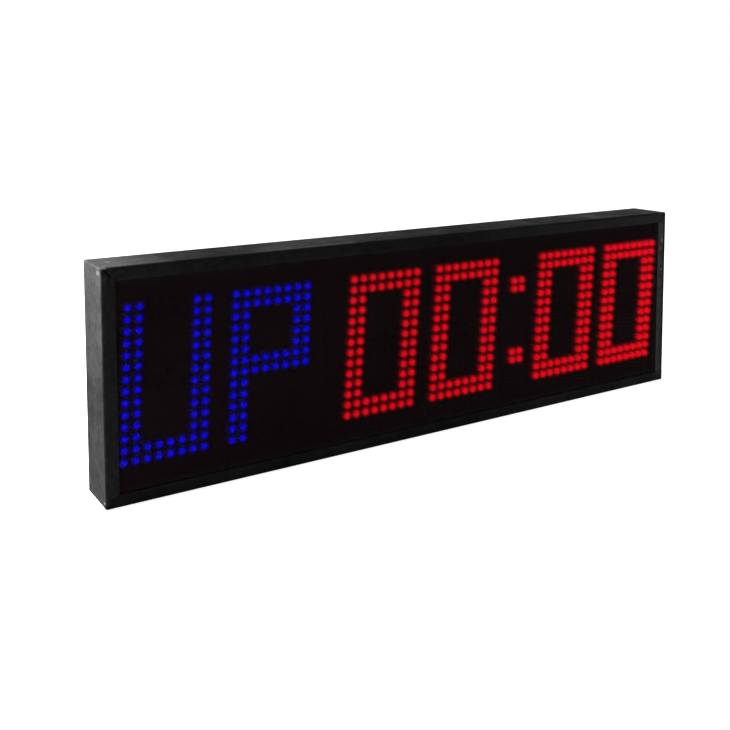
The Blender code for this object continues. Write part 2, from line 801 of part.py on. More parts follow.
middle_v = (HANGER_V[0] + HANGER_V[1]) / 2
for side, x in zip(("left", "right"), HANGER_X):
    pivot = at(x, middle_v, HANGER_Z)
    sheet = prism(hanger_profile(), -HANGER_R - 1, HANGER_R + 1, "X")
    tab = piece(f"hanger_{side}", sheet, pivot, "zinc_steel")
    blank = helper(f"hanger_{side}_blank", prism(hanger_outline(), -3, 6), pivot)
    boolean(tab, "INTERSECT", blank, "outline")
    holes = helper(
        f"hanger_{side}_holes",
        joined(round_bar(2.3, -4, 7, 16), prism(keyhole_outline(), -4, 7)),
        pivot,
    )
    boolean(tab, "DIFFERENCE", holes, "pivot hole and keyhole")
    place = at(x, 0, HANGER_Z)
    piece(
        f"hanger_screw_{side}",
        turned(
            [
                (0, 27.5),
                (2.0, 27.5),
                (2.0, HANGER_V[1] + GAP),
                (4.2, HANGER_V[1] + GAP),
                (4.2, 38.7),
                (3.2, 39.4),
                (0, 39.4),
            ],
            18,
        ),
        place,
        "zinc_steel",
    )
    collar_v = (COVER_V[1] + GAP, HANGER_V[0] - GAP)
    collar = [(2.3, collar_v[0]), (4.6, collar_v[0]), (4.6, collar_v[1]), (2.3, collar_v[1])]
    piece(f"hanger_spacer_{side}", turned(collar + collar[:1], 18), place, "nylon")
    nut = piece(f"hanger_nut_{side}", prism(ring_points(4.04, 6), 28.0, UNDER_COVER), place, "zinc_steel")
    boolean(nut, "DIFFERENCE", helper(f"hanger_nut_{side}_bore", round_bar(2.3, 26, 33, 12), place), "thread")
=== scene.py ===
"""Looks of the gym interval timer: powder-coated frame, smoked front sheet, round LEDs,
and the rear cover with its switch, buttons, power socket and hangers.

Lengths are in millimetres in the casing's own measure: x from the left end as seen
from the front, v behind the front face, z above the underside. at() turns them into
the model's metres.
"""

import math
import random

import bmesh
import bpy
import numpy as np
from mathutils import Matrix, Vector


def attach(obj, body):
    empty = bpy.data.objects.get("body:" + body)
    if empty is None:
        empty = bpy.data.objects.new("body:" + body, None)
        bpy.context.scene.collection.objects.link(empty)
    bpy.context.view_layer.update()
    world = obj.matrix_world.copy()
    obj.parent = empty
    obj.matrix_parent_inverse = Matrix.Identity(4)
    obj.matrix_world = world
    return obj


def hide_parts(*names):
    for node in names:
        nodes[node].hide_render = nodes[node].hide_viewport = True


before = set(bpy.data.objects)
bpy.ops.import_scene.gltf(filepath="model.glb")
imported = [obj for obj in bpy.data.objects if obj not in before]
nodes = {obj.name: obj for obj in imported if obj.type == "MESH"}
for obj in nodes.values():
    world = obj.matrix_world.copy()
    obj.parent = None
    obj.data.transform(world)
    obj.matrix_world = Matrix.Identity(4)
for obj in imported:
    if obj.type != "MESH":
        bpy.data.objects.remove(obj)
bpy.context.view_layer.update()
scene = bpy.context.scene

MM = 0.001
WIDTH, HEIGHT, DEPTH, DEPTH_OVER_HANGERS = 493.0, 148.0, 36.0, 40.0
WALL, LIP, LIP_T = 1.6, 8.4, 1.5
EDGE_R, CORNER_R, REAR_R = 2.2, 1.1, 0.6
RIB, RIB_T = 5.0, 1.2
FLANGE, FLANGE_V = 9.0, (29.5, 31.0)
LENS_V = (1.8, 3.8)
SHEET_EDGE = 1.9
LED_TIP_V, LED_R, BOARD_V, BOARD_T = 4.1, 2.5, 12.1, 1.6
ROW_PITCH, BLUE, RED = 7.38, (7.51, 2.58), (7.66, 3.8)
COLUMNS, ROWS = 8, 14
DIGIT_AT = ((0.0, BLUE), (72.05, BLUE), (159.9, RED), (234.05, RED), (336.6, RED), (409.5, RED))
FIRST_LED_X = 13.05
TOP_ROW_Z = 73.21 + 6.5 * ROW_PITCH
COLON_AT, COLON_PITCH = ((328.15, 45.1), (329.8, 101.4)), (7.4, 6.5)
BOARD_X = ((2.0, 158.1), (158.4, 315.5), (315.8, 343.0), (343.3, 491.0))
BOARD_Z = (2.0, 146.0)
COVER_V = (31.3, 33.3)
COVER_SCREW_AT = (
    (90.0, 142.5), (246.5, 142.5), (403.0, 142.5), (90.0, 5.5),
    (246.5, 5.5), (403.0, 5.5), (5.5, 74.0), (487.5, 74.0),
)
BUTTON_AT = (("mode", 206.5), ("up", 221.5), ("down", 236.5))
BUTTON_Z, BUTTON_R = 54.0, 3.5
JACK_AT, SOCKET_R = (264.0, 54.0), 3.2
SWITCH_AT, SWITCH_PIVOT_V, SWITCH_TILT = (326.0, 54.0), 32.6, math.radians(9.0)
BUZZER_AT = (282.0, 84.0)
HANGER_X, HANGER_Z, HANGER_V = (66.5, 426.5), 133.0, (35.4, 36.9)
HANGER_STEP, HANGER_BEND, HANGER_R, HANGER_REACH = 3.1, 8.0, 9.0, 30.0


def at(x, v, z):
    return Vector(((x - WIDTH / 2) * MM, (v - DEPTH_OVER_HANGERS / 2) * MM, z * MM))


# ------------------------------------------------------------------ materials


class Nodes:
    """A material's node tree with short ways to add the nodes used here."""

    def __init__(self, name):
        self.material = bpy.data.materials.new(name)
        self.material.use_nodes = True
        self.tree = self.material.node_tree
        self.shader = self.tree.nodes["Principled BSDF"]
        self.coordinates = self.tree.nodes.new("ShaderNodeTexCoord")

    def node(self, kind, **settings):
        made = self.tree.nodes.new(kind)
        for key, value in settings.items():
            setattr(made, key, value)
        return made

    def link(self, source, target):
        self.tree.links.new(source, target)

    def plain(self, **values):
        for name, value in values.items():
            socket = self.shader.inputs[name.replace("_", " ")]
            socket.default_value = value
        return self

    def place(self, stretch=(1.0, 1.0, 1.0), turn=(0.0, 0.0, 0.0)):
        mapping = self.node("ShaderNodeMapping")
        mapping.inputs["Scale"].default_value = stretch
        mapping.inputs["Rotation"].default_value = turn
        self.link(self.coordinates.outputs["Object"], mapping.inputs["Vector"])
        return mapping.outputs["Vector"]

    def noise(self, scale, detail=3.0, rough=0.55, where=None, distortion=0.0):
        made = self.node("ShaderNodeTexNoise")
        made.inputs["Scale"].default_value = scale
        made.inputs["Detail"].default_value = detail
        made.inputs["Roughness"].default_value = rough
        made.inputs["Distortion"].default_value = distortion
        self.link(where or self.coordinates.outputs["Object"], made.inputs["Vector"])
        return made.outputs["Fac"]

    def cells(self, scale, where=None, feature="F1", output="Distance", randomness=1.0):
        made = self.node("ShaderNodeTexVoronoi", feature=feature)
        made.inputs["Scale"].default_value = scale
        made.inputs["Randomness"].default_value = randomness
        self.link(where or self.coordinates.outputs["Object"], made.inputs["Vector"])
        return made.outputs[output]

    def spread(self, source, low, high, to_low=0.0, to_high=1.0, smooth=False):
        made = self.node("ShaderNodeMapRange")
        made.interpolation_type = "SMOOTHSTEP" if smooth else "LINEAR"
        for name, value in (("From Min", low), ("From Max", high), ("To Min", to_low), ("To Max", to_high)):
            made.inputs[name].default_value = value
        self.link(source, made.inputs["Value"])
        return made.outputs["Result"]

    def maths(self, operation, a, b=None):
        made = self.node("ShaderNodeMath", operation=operation)
        for socket, value in zip(made.inputs, (a, b)):
            if value is None:
                continue
            if isinstance(value, (int, float)):
                socket.default_value = value
            else:
                self.link(value, socket)
        return made.outputs[0]

    def blend(self, share, a, b):
        """Mix of two colours, each a socket or a plain RGB tuple."""
        made = self.node("ShaderNodeMix", data_type="RGBA")
        sockets = [s for s in made.inputs if s.enabled]
        by_name = {s.name: s for s in sockets}
        if isinstance(share, (int, float)):
            by_name["Factor"].default_value = share
        else:
            self.link(share, by_name["Factor"])
        for name, value in (("A", a), ("B", b)):
            if isinstance(value, tuple):
                by_name[name].default_value = (*value, 1.0)
            else:
                self.link(value, by_name[name])
        return [s for s in made.outputs if s.enabled][0]

    def near(self, place, weight=(1.0, 1.0, 1.0)):
        """Distance from a place of the model, each axis counted by its weight."""
        offset = self.node("ShaderNodeVectorMath", operation="SUBTRACT")
        self.link(self.coordinates.outputs["Object"], offset.inputs[0])
        offset.inputs[1].default_value = place
        scaled = self.node("ShaderNodeVectorMath", operation="MULTIPLY")
        self.link(offset.outputs["Vector"], scaled.inputs[0])
        scaled.inputs[1].default_value = weight
        made = self.node("ShaderNodeVectorMath", operation="LENGTH")
        self.link(scaled.outputs["Vector"], made.inputs[0])
        return made.outputs["Value"]

    def curve(self, source, low, high, stops):
        """A smooth curve through (position, value) stops between low and high. Values reach
        up to 8."""
        share = self.spread(source, low, high)
        ramp = self.node("ShaderNodeValToRGB")
        ramp.color_ramp.interpolation = "EASE"
        points = ramp.color_ramp.elements
        while len(points) < len(stops):
            points.new(0.5)
        for point, (position, value) in zip(points, stops):
            point.position = (position - low) / (high - low)
        for point, (position, value) in zip(points, stops):
            point.color = (value / 8, value / 8, value / 8, 1.0)
        self.link(share, ramp.inputs["Fac"])
        return self.maths("MULTIPLY", ramp.outputs["Color"], 8.0)

    def axis(self, name):
        parts = self.node("ShaderNodeSeparateXYZ")
        self.link(self.coordinates.outputs["Object"], parts.inputs[0])
        return parts.outputs[name]

    def colour(self, source):
        self.link(source, self.shader.inputs["Base Color"])
        return self

    def roughness(self, source):
        self.link(source, self.shader.inputs["Roughness"])
        return self

    def bump(self, height, strength, distance, before=None):
        made = self.node("ShaderNodeBump")
        made.inputs["Strength"].default_value = strength
        made.inputs["Distance"].default_value = distance
        self.link(height, made.inputs["Height"])
        if before is not None:
            self.link(before, made.inputs["Normal"])
        self.link(made.outputs["Normal"], self.shader.inputs["Normal"])
        return made.outputs["Normal"]


def grained(name, dark, light, scale, rough, bump, specular=0.5, metallic=0.0, stretch=(1, 1, 1), detail=4.0):
    """A moulded or sawn surface: colour and roughness vary with one noise, grain with another."""
    n = Nodes(name)
    n.plain(Metallic=metallic, Specular_IOR_Level=specular)
    where = n.place(stretch)
    n.colour(n.blend(n.spread(n.noise(scale, detail, where=where), 0.35, 0.65), dark, light))
    n.roughness(n.spread(n.noise(scale * 2.3, 3.0, where=where), 0.3, 0.7, *rough))
    n.bump(n.noise(bump[0], 3.0, where=where), bump[1], bump[2])
    return n.material


def powder_coat(name, dark, light, specular, rough, grain=(1.0, 1.0, 1.0), worn=True):
    """Sand-textured powder coat: coarse orange peel under a fine grit, its pits painted darker as
    painted shade, cloudy patches where handling has dulled or polished it, and bare metal where the
    outer front corners have been knocked."""
    n = Nodes(name)
    n.plain(Metallic=0.0)
    where = n.place(grain)
    clouds = n.node("ShaderNodeTexNoise", noise_dimensions="4D")
    for socket, value in (("Scale", 11.0), ("Detail", 1.0), ("Roughness", 0.5), ("W", 82.0)):
        clouds.inputs[socket].default_value = value
    n.link(n.coordinates.outputs["Object"], clouds.inputs["Vector"])
    sheen = n.spread(clouds.outputs["Fac"], 0.3, 0.6, 0.5, 1.2)
    blotch = n.noise(230.0, 4.0, 0.72, where, 0.5) if worn else n.noise(1100.0, 3.0, 0.7, where)
    blotch = n.spread(blotch, 0.34, 0.66, *((0.6, 1.44) if worn else (0.7, 1.35)))
    gain = n.maths("MULTIPLY", sheen, blotch)
    if worn:
        # outside the front, the coat's sheen changes along the top and down the left end, where
        # hands have polished or dulled it, and its front edge is a little more polished
        outside = n.spread(n.axis("Y"), -0.0196, -0.0178)
        top = n.spread(n.axis("Z"), 0.1468, 0.1478)
        end_face = n.spread(n.axis("X"), -0.2462, -0.2452, 1.0, 0.0)
        far = n.node("ShaderNodeVectorMath", operation="DISTANCE")
        ends = n.node("ShaderNodeVectorMath", operation="ABSOLUTE")
        middle = n.node("ShaderNodeVectorMath", operation="SUBTRACT")
        middle.inputs[1].default_value = (0.0, 0.0, HEIGHT / 2 * MM)
        n.link(n.coordinates.outputs["Object"], middle.inputs[0])
        n.link(middle.outputs[0], ends.inputs[0])
        n.link(ends.outputs[0], far.inputs[0])
        far.inputs[1].default_value = ((WIDTH / 2 - 0.6) * MM, (DEPTH_OVER_HANGERS / 2 - 0.9) * MM, (HEIGHT / 2 - 0.6) * MM)
        edge = n.spread(n.axis("Y"), -0.0178, -0.0095, 1.0, 0.0)
        along_top = n.maths("SUBTRACT", n.curve(n.axis("X"), -0.2465, 0.2465, TOP_SHEEN), 1.0)
        down_end = n.maths("SUBTRACT", n.curve(n.axis("Z"), 0.0, 0.148, END_SHEEN), 1.0)
        brighter = n.maths("ADD", n.maths("MULTIPLY", top, along_top), n.maths("MULTIPLY", end_face, down_end))
        # the rounded edge between them isn't polished
        arris = n.maths("MULTIPLY", n.spread(n.axis("X"), -0.2464, -0.2457, 1.0, 0.0), n.spread(n.axis("Z"), 0.1472, 0.1479))
        brighter = n.maths("SUBTRACT", brighter, n.maths("MULTIPLY", arris, 6.0))
        # the right end keeps more of the coat's shine than the front does
        brighter = n.maths("ADD", brighter, n.maths("MULTIPLY", n.spread(n.axis("X"), 0.2456, 0.2463), 4.0))
        brighter = n.maths("ADD", brighter, n.maths("MULTIPLY", n.maths("MULTIPLY", edge, end_face), 0.22))
        # the outer edges of the lower and right rails hardly shine
        front_edge = n.spread(n.axis("Y"), -0.0178, -0.0158, 1.0, 0.0)
        rim = n.maths("MAXIMUM", n.spread(n.axis("X"), 0.2438, 0.2448), n.spread(n.axis("Z"), 0.0008, 0.0026, 1.0, 0.0))
        rim = n.maths("MULTIPLY", n.maths("MULTIPLY", rim, front_edge), 0.85)
        notch = n.spread(far.outputs["Value"], 0.0022, 0.0042, 0.85, 0.0, True)
        extra = n.maths("SUBTRACT", n.maths("MULTIPLY", outside, n.maths("SUBTRACT", brighter, notch)), rim)
        gain = n.maths("MAXIMUM", n.maths("MULTIPLY", gain, n.maths("ADD", 1.0, extra)), 0.04)
    n.link(n.maths("MULTIPLY", gain, specular), n.shader.inputs["Specular IOR Level"])
    grit = n.noise(1500.0, 4.0, 0.62, where)
    peel = n.noise(420.0 if worn else 760.0, 3.0, 0.5, where, 0.4 if worn else 0.0)
    broad = n.noise(38.0, 4.0, 0.6)
    # the colour is darker where the orange peel is low: painted shade in its pits, under a broad random mottle
    mottle_and_pit_shade = n.maths("MULTIPLY", n.spread(peel, 0.36, 0.66), n.spread(broad, 0.25, 0.75, 0.55, 1.0))
    coat = n.blend(mottle_and_pit_shade, dark, light)
    rough_out = n.spread(n.maths("ADD", n.maths("MULTIPLY", grit, 0.4), n.maths("MULTIPLY", broad, 0.6)), 0.38, 0.62, *rough)
    height = n.maths("ADD", n.maths("MULTIPLY", grit, 0.45), n.maths("MULTIPLY", peel, 0.9))
    n.bump(height, 0.42, 0.00028)
    if worn:
        front_half = n.spread(n.axis("Y"), -0.012, -0.008, 1.0, 0.0)
        ring = n.maths(
            "MULTIPLY",
            n.spread(far.outputs["Value"], 0.0022, 0.0032, 0.0, 1.0, True),
            n.spread(far.outputs["Value"], 0.0044, 0.0058, 1.0, 0.0, True),
        )
        flecks = n.maths("MULTIPLY", n.maths("MULTIPLY", ring, front_half), n.spread(n.noise(620.0, 3.0, 0.6), 0.56, 0.64, 0.0, 0.7, True))
        chips = n.maths("MULTIPLY", flecks, outside)
        ragged = n.spread(n.noise(900.0, 3.0, 0.6), 0.3, 0.7, -0.0004, 0.0004)
        for place, weight, size, share in (
            ((-0.2465, -0.0132, 0.1439), (1.0, 0.4, 1.0), 0.0017, 0.38),
            ((-0.2369, -0.0008, 0.148), (1.0, 0.3, 1.0), 0.0014, 0.26),
            ((-0.2446, -0.0189, 0.1477), (0.8, 1.0, 1.3), 0.0016, 0.55),
            ((0.2412, -0.02, 0.1235), (1.0, 1.0, 1.0), 0.0019, 0.4),
            ((0.2408, -0.02, 0.0985), (1.0, 1.0, 1.0), 0.0014, 0.3),
        ):
            spot = n.spread(n.maths("ADD", n.near(place, weight), ragged), size * 0.4, size, share, 0.0, True)
            chips = n.maths("MAXIMUM", chips, spot)
        # the right upright is painted lighter grey in specks: a painted sheen, with the glow of the lamps beside it
        right_sheen_specks = n.maths("MULTIPLY", n.spread(n.axis("X"), 0.2374, 0.2382), n.spread(n.axis("X"), 0.2418, 0.2436, 1.0, 0.0))
        right_sheen_specks = n.maths("MULTIPLY", right_sheen_specks, n.spread(n.noise(340.0, 4.0, 0.7), 0.36, 0.66, 0.12, 1.0))
        right_sheen_specks = n.maths("MULTIPLY", right_sheen_specks, n.spread(n.axis("Z"), 0.096, 0.112, 0.72, 1.0))
        right_sheen_specks = n.maths("MULTIPLY", right_sheen_specks, n.spread(n.axis("Y"), -0.0186, -0.018, 1.0, 0.0))
        coat = n.blend(right_sheen_specks, coat, (0.032, 0.032, 0.0325))
        # its inner edge is painted lighter still: a painted highlight where it faces the light from the left
        inner = n.maths("MULTIPLY", n.spread(n.axis("X"), 0.2376, 0.238), n.spread(n.axis("X"), 0.2382, 0.239, 1.0, 0.0))
        inner = n.maths("MULTIPLY", inner, n.spread(n.noise(420.0, 3.0, 0.6), 0.36, 0.62, 0.2, 0.9))
        inner = n.maths("MULTIPLY", inner, n.spread(n.axis("Y"), -0.0172, -0.0165, 1.0, 0.0))
        coat = n.blend(inner, coat, (0.042, 0.042, 0.043))
        # the front corners are lighter and darker in small patches
        corner_patches = n.spread(far.outputs["Value"], 0.004, 0.015, 1.0, 0.0, True)
        corner_patches = n.maths("MULTIPLY", corner_patches, n.spread(n.axis("Y"), -0.0192, -0.0184, 1.0, 0.0))
        patches = n.noise(480.0, 3.0, 0.65, n.place((1.0, 1.0, 0.55)))
        coat = n.blend(n.maths("MULTIPLY", corner_patches, n.spread(patches, 0.5, 0.64, 0.0, 0.8)), coat, (0.011, 0.011, 0.0112))
        coat = n.blend(n.maths("MULTIPLY", corner_patches, n.spread(patches, 0.36, 0.48, 0.9, 0.0)), coat, (0.0005, 0.0005, 0.0005))
        # the top rail's front face is darker in the middle of its length, and painted lighter towards the right as a
        # painted sheen
        upper = n.maths("MULTIPLY", n.spread(n.axis("Z"), 0.1394, 0.1397), n.spread(n.axis("Z"), 0.1462, 0.147, 1.0, 0.0))
        upper = n.maths("MULTIPLY", upper, n.spread(n.axis("Y"), -0.0186, -0.018, 1.0, 0.0))
        coat = n.blend(n.maths("MULTIPLY", upper, n.spread(n.axis("X"), -0.13, -0.04, 0.0, 0.5, True)), coat, (0.0012, 0.0012, 0.0012))
        coat = n.blend(n.maths("MULTIPLY", upper, n.spread(n.axis("X"), 0.02, 0.235, 0.0, 0.85)), coat, (0.0095, 0.0095, 0.0098))
        # the lower rail's front is darkest at its bottom edge: painted shade where the rounded edge turns down
        low = n.spread(n.axis("Z"), 0.0015, 0.009, 0.85, 0.3)
        low = n.maths("MULTIPLY", low, n.spread(n.axis("Z"), 0.0083, 0.0088, 1.0, 0.0))
        coat = n.blend(low, coat, (0.0006, 0.0006, 0.0006))
        n.colour(n.blend(chips, coat, (0.13, 0.13, 0.133)))
        n.roughness(n.maths("SUBTRACT", rough_out, n.maths("MULTIPLY", chips, 0.22)))
    else:
        n.colour(coat)
        n.roughness(rough_out)
    return n.material


def smoked_sheet():
    """Dark see-through plastic with a faint haze, painted lighter along the lips: painted light that fills in the shade
    the lips cast on it.
    """
    n = Nodes("smoked_sheet")
    n.plain(Specular_IOR_Level=0.006, Alpha=0.65)
    haze = n.noise(14.0, 4.0, 0.6)
    dust = n.cells(900.0)
    tint = n.blend(n.spread(haze, 0.3, 0.7), (0.0041, 0.002, 0.0024), (0.0048, 0.0026, 0.003))
    # lighter towards the right, bottom and top lips: painted light where the lips shade the sheet
    inner_x, inner_z = (WIDTH / 2 - LIP) * MM, (HEIGHT / 2 - LIP) * MM
    to_right = n.spread(n.axis("X"), inner_x - 0.0055, inner_x, 0.0, 0.9, True)
    to_bottom = n.spread(n.axis("Z"), 0.074 - inner_z, 0.074 - inner_z + 0.005, 0.55, 0.0, True)
    to_top = n.spread(n.axis("Z"), 0.074 + inner_z - 0.004, 0.074 + inner_z, 0.0, 0.4, True)
    lip_fill_light = n.maths("MAXIMUM", n.maths("MAXIMUM", to_right, to_bottom), to_top)
    n.colour(n.blend(lip_fill_light, tint, (0.0105, 0.0088, 0.0092)))
    n.roughness(n.maths("ADD", n.spread(haze, 0.3, 0.7, 0.09, 0.15), n.spread(dust, 0.0, 0.12, 0.08, 0.0)))
    n.bump(n.noise(22.0, 2.0), 0.05, 0.0002)
    return n.material


def led_lamp(name, glass, light, strength, dome_to=(0.3, 2.4), body_to=6.0, span=(-0.24, 0.24), side=(0.3, 0.3), gain=(1.0, 1.0), power=(1.0, 1.0)):
    """Moulded epoxy lamp: brightest over the dome, fading down the body to the board.
    dome_to and body_to are depths in millimetres behind the tip, and side is what is left of
    the dome's brightness at the top of the body. The lamps of one display differ a little, so
    side, gain and the dome's fall-off change evenly from one end of span to the other."""
    n = Nodes(name)
    n.plain(Specular_IOR_Level=0.02)
    n.colour(n.blend(n.spread(n.noise(900.0, 2.0), 0.3, 0.7), glass, tuple(c * 0.7 for c in glass)))
    n.roughness(n.spread(n.noise(700.0, 2.0), 0.3, 0.7, 0.3, 0.46))
    if strength:
        depth, along = n.axis("Y"), n.spread(n.axis("X"), *span)
        tip = (LED_TIP_V - DEPTH_OVER_HANGERS / 2) * MM
        dome = n.spread(depth, tip + dome_to[0] * MM, tip + dome_to[1] * MM, 1.0, 0.0, True)
        dome = n.maths("POWER", dome, n.spread(along, 0.0, 1.0, *power))
        flank = n.maths("MULTIPLY", n.maths("SUBTRACT", 1.0, dome), n.spread(along, 0.0, 1.0, *side))
        body = n.spread(depth, tip + dome_to[1] * MM, tip + body_to * MM, 1.0, 0.05, True)
        uneven = n.maths("MULTIPLY", n.spread(n.noise(160.0, 2.0), 0.3, 0.7, 0.94, 1.04), n.spread(along, 0.0, 1.0, *gain))
        lit = n.maths("MULTIPLY", n.maths("MULTIPLY", n.maths("ADD", dome, flank), body), uneven)
        n.shader.inputs["Emission Color"].default_value = (*light, 1.0)
        n.link(n.maths("MULTIPLY", lit, strength), n.shader.inputs["Emission Strength"])
    return n.material


def circuit_board(name, mask, bright, specular=0.35):
    n = Nodes(name)
    n.plain(Specular_IOR_Level=specular)
    weave = n.node("ShaderNodeTexWave")
    weave.inputs["Scale"].default_value = 420.0
    weave.inputs["Distortion"].default_value = 1.2
    n.link(n.coordinates.outputs["Object"], weave.inputs["Vector"])
    tracks = n.spread(n.cells(160.0, feature="DISTANCE_TO_EDGE"), 0.02, 0.05, 1.0, 0.0, True)
    n.colour(n.blend(n.maths("MULTIPLY", tracks, 0.6), mask, bright))
    n.roughness(n.spread(n.noise(300.0), 0.3, 0.7, 0.32, 0.48))
    n.bump(n.maths("ADD", n.maths("MULTIPLY", weave.outputs["Fac"], 0.3), tracks), 0.2, 0.00005)
    return n.material


def plated(name, dark, light, rough, scratch=(1.0, 1.0, 14.0), blotch=70.0, strength=0.16):
    """Plated or bare metal with fine drawn scratches and faint blotches in the plating."""
    n = Nodes(name)
    n.plain(Metallic=1.0)
    lines = n.noise(1400.0, 4.0, 0.7, n.place(scratch))
    cloud = n.noise(blotch, 4.0, 0.6)
    n.colour(n.blend(n.spread(cloud, 0.35, 0.65), dark, light))
    n.roughness(n.spread(n.maths("ADD", n.maths("MULTIPLY", lines, 0.6), n.maths("MULTIPLY", cloud, 0.4)), 0.38, 0.62, *rough))
    n.bump(lines, strength, 0.00006)
    return n.material


def ribbon(name):
    n = Nodes(name)
    n.plain(Specular_IOR_Level=0.4)
    wires = n.node("ShaderNodeTexWave", bands_direction="Z")
    wires.inputs["Scale"].default_value = 125.0
    n.link(n.coordinates.outputs["Object"], wires.inputs["Vector"])
    # the wires are painted lighter on their ridges and darker in the grooves between them: painted shade
    shade = n.spread(wires.outputs["Fac"], 0.1, 0.5)
    n.colour(n.blend(shade, (0.16, 0.16, 0.17), (0.36, 0.36, 0.38)))
    n.roughness(n.spread(n.noise(240.0), 0.3, 0.7, 0.42, 0.58))
    n.bump(wires.outputs["Fac"], 0.6, 0.0003)
    return n.material


# how much the coat shines along the top, from left to right, and up the left end
TOP_SHEEN = (
    (-0.2465, 5.2), (-0.236, 5.6), (-0.223, 3.4), (-0.21, 1.95), (-0.196, 0.72), (-0.173, 0.5),
    (-0.149, 1.25), (-0.088, 1.42), (-0.059, 0.42), (0.116, 0.52), (0.155, 1.0), (0.2465, 1.0),
)
END_SHEEN = (
    (0.0, 2.1), (0.016, 1.15), (0.034, 0.82), (0.058, 0.5), (0.068, 0.5), (0.084, 1.1), (0.1, 1.6), (0.12, 1.8), (0.148, 2.45),
)
COAT = powder_coat("powder_coat_black", (0.0019, 0.002, 0.002), (0.0043, 0.0045, 0.0045), 0.034, (0.5, 0.8))
COAT_REAR = powder_coat("powder_coat_rear", (0.0085, 0.0086, 0.0088), (0.0145, 0.0147, 0.015), 0.32, (0.46, 0.62), worn=False)
SHEET = smoked_sheet()
LED_BLUE = led_lamp("led_blue_lit", (0.003, 0.003, 0.12), (0.001, 0.0005, 1.0), 5.35, (0.2, 2.3), 5.0, (-0.235, -0.1), (0.02, 0.1), (1.0, 1.0), (1.9, 1.2))
LED_RED = led_lamp("led_red_lit", (0.12, 0.003, 0.004), (1.0, 0.002, 0.012), 6.6, (0.4, 4.6), 6.4, (-0.085, 0.235), (0.02, 0.13), (0.93, 1.06), (2.35, 0.38))
LED_BLUE_OFF = led_lamp("led_blue_unlit", (0.003, 0.003, 0.0045), None, 0.0)
LED_RED_OFF = led_lamp("led_red_unlit", (0.0045, 0.003, 0.003), None, 0.0)
BOARD_BLACK = circuit_board("board_black", (0.003, 0.003, 0.0032), (0.0048, 0.0048, 0.005), 0.06)
BOARD_GREEN = circuit_board("board_green", (0.008, 0.05, 0.02), (0.03, 0.12, 0.05))
PLASTIC = grained("plastic_black", (0.012, 0.012, 0.0125), (0.02, 0.02, 0.021), 90.0, (0.42, 0.55), (1300.0, 0.3, 0.00008), 0.45)
ROCKER = grained("plastic_rocker", (0.01, 0.01, 0.0105), (0.015, 0.015, 0.016), 120.0, (0.26, 0.36), (1600.0, 0.18, 0.00005), 0.5)
RUBBER = grained("rubber_button", (0.016, 0.016, 0.017), (0.028, 0.028, 0.03), 160.0, (0.62, 0.78), (1500.0, 0.5, 0.00012), 0.35)
RESIN = grained("chip_resin", (0.012, 0.012, 0.013), (0.022, 0.022, 0.024), 260.0, (0.5, 0.64), (2400.0, 0.35, 0.00005), 0.4)
NYLON = grained("nylon_natural", (0.58, 0.56, 0.5), (0.7, 0.68, 0.62), 140.0, (0.4, 0.52), (900.0, 0.2, 0.00005), 0.45)
SLEEVE = grained("capacitor_sleeve", (0.012, 0.02, 0.07), (0.02, 0.032, 0.1), 60.0, (0.28, 0.4), (700.0, 0.15, 0.00004), 0.5)
PAINT = grained("mark_white", (0.42, 0.42, 0.41), (0.56, 0.56, 0.54), 300.0, (0.45, 0.6), (1800.0, 0.3, 0.00004), 0.4)
ZINC = plated("zinc_plated_steel", (0.2, 0.205, 0.215), (0.34, 0.34, 0.33), (0.28, 0.44))
ZINC_TURNED = plated("zinc_plated_screw", (0.3, 0.305, 0.315), (0.46, 0.46, 0.45), (0.2, 0.34), (1.0, 1.0, 1.0), 240.0, 0.1)
BLACK_STEEL = plated("black_oxide_screw", (0.02, 0.02, 0.021), (0.045, 0.045, 0.048), (0.34, 0.5), (1.0, 1.0, 1.0), 320.0, 0.12)
BRASS = plated("brass_turned", (0.5, 0.35, 0.13), (0.66, 0.5, 0.22), (0.24, 0.36), (1.0, 14.0, 1.0), 180.0)
CELL = plated("cell_steel", (0.42, 0.42, 0.43), (0.56, 0.56, 0.57), (0.16, 0.28), (1.0, 1.0, 1.0), 120.0, 0.08)
ALUMINIUM = plated("aluminium_mill", (0.38, 0.39, 0.41), (0.54, 0.55, 0.57), (0.3, 0.44), (14.0, 1.0, 1.0))
RIBBON = ribbon("ribbon_grey")


# ------------------------------------------------------------------ mesh building


def mesh_of(name, vertices, faces, place=Vector((0, 0, 0))):
    mesh = bpy.data.meshes.new(name)
    mesh.from_pydata([tuple(Vector(v) * MM + place) for v in vertices], [], faces)
    mesh.update()
    return mesh


def piece(name, mesh, material, body, replaces=(), sharp=35.0, level=True):
    mesh.materials.clear()
    mesh.materials.append(material)
    mesh.shade_smooth()
    if sharp is not None:
        mesh.set_sharp_from_angle(angle=math.radians(sharp))
    obj = bpy.data.objects.new(name, mesh)
    scene.collection.objects.link(obj)
    if level:
        # a flat face keeps its own direction right up to its rounded edges
        modifier = obj.modifiers.new("level", "WEIGHTED_NORMAL")
        modifier.keep_sharp = True
        bpy.context.view_layer.update()
        graph = bpy.context.evaluated_depsgraph_get()
        levelled = bpy.data.meshes.new_from_object(obj.evaluated_get(graph))
        obj.modifiers.clear()
        obj.data = levelled
    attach(obj, body)
    if replaces:
        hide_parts(*replaces)
    return obj


def tidy(mesh, distance=1e-7):
    shape = bmesh.new()
    shape.from_mesh(mesh)
    bmesh.ops.remove_doubles(shape, verts=shape.verts, dist=distance)
    bmesh.ops.dissolve_degenerate(shape, dist=1e-8, edges=shape.edges)
    bmesh.ops.recalc_face_normals(shape, faces=shape.faces)
    shape.to_mesh(mesh)
    shape.free()
    return mesh


def circle(radius, count, centre=(0.0, 0.0), start=0.0):
    return [
        (
            centre[0] + radius * math.cos(start + 2 * math.pi * i / count),
            centre[1] + radius * math.sin(start + 2 * math.pi * i / count),
        )
        for i in range(count)
    ]


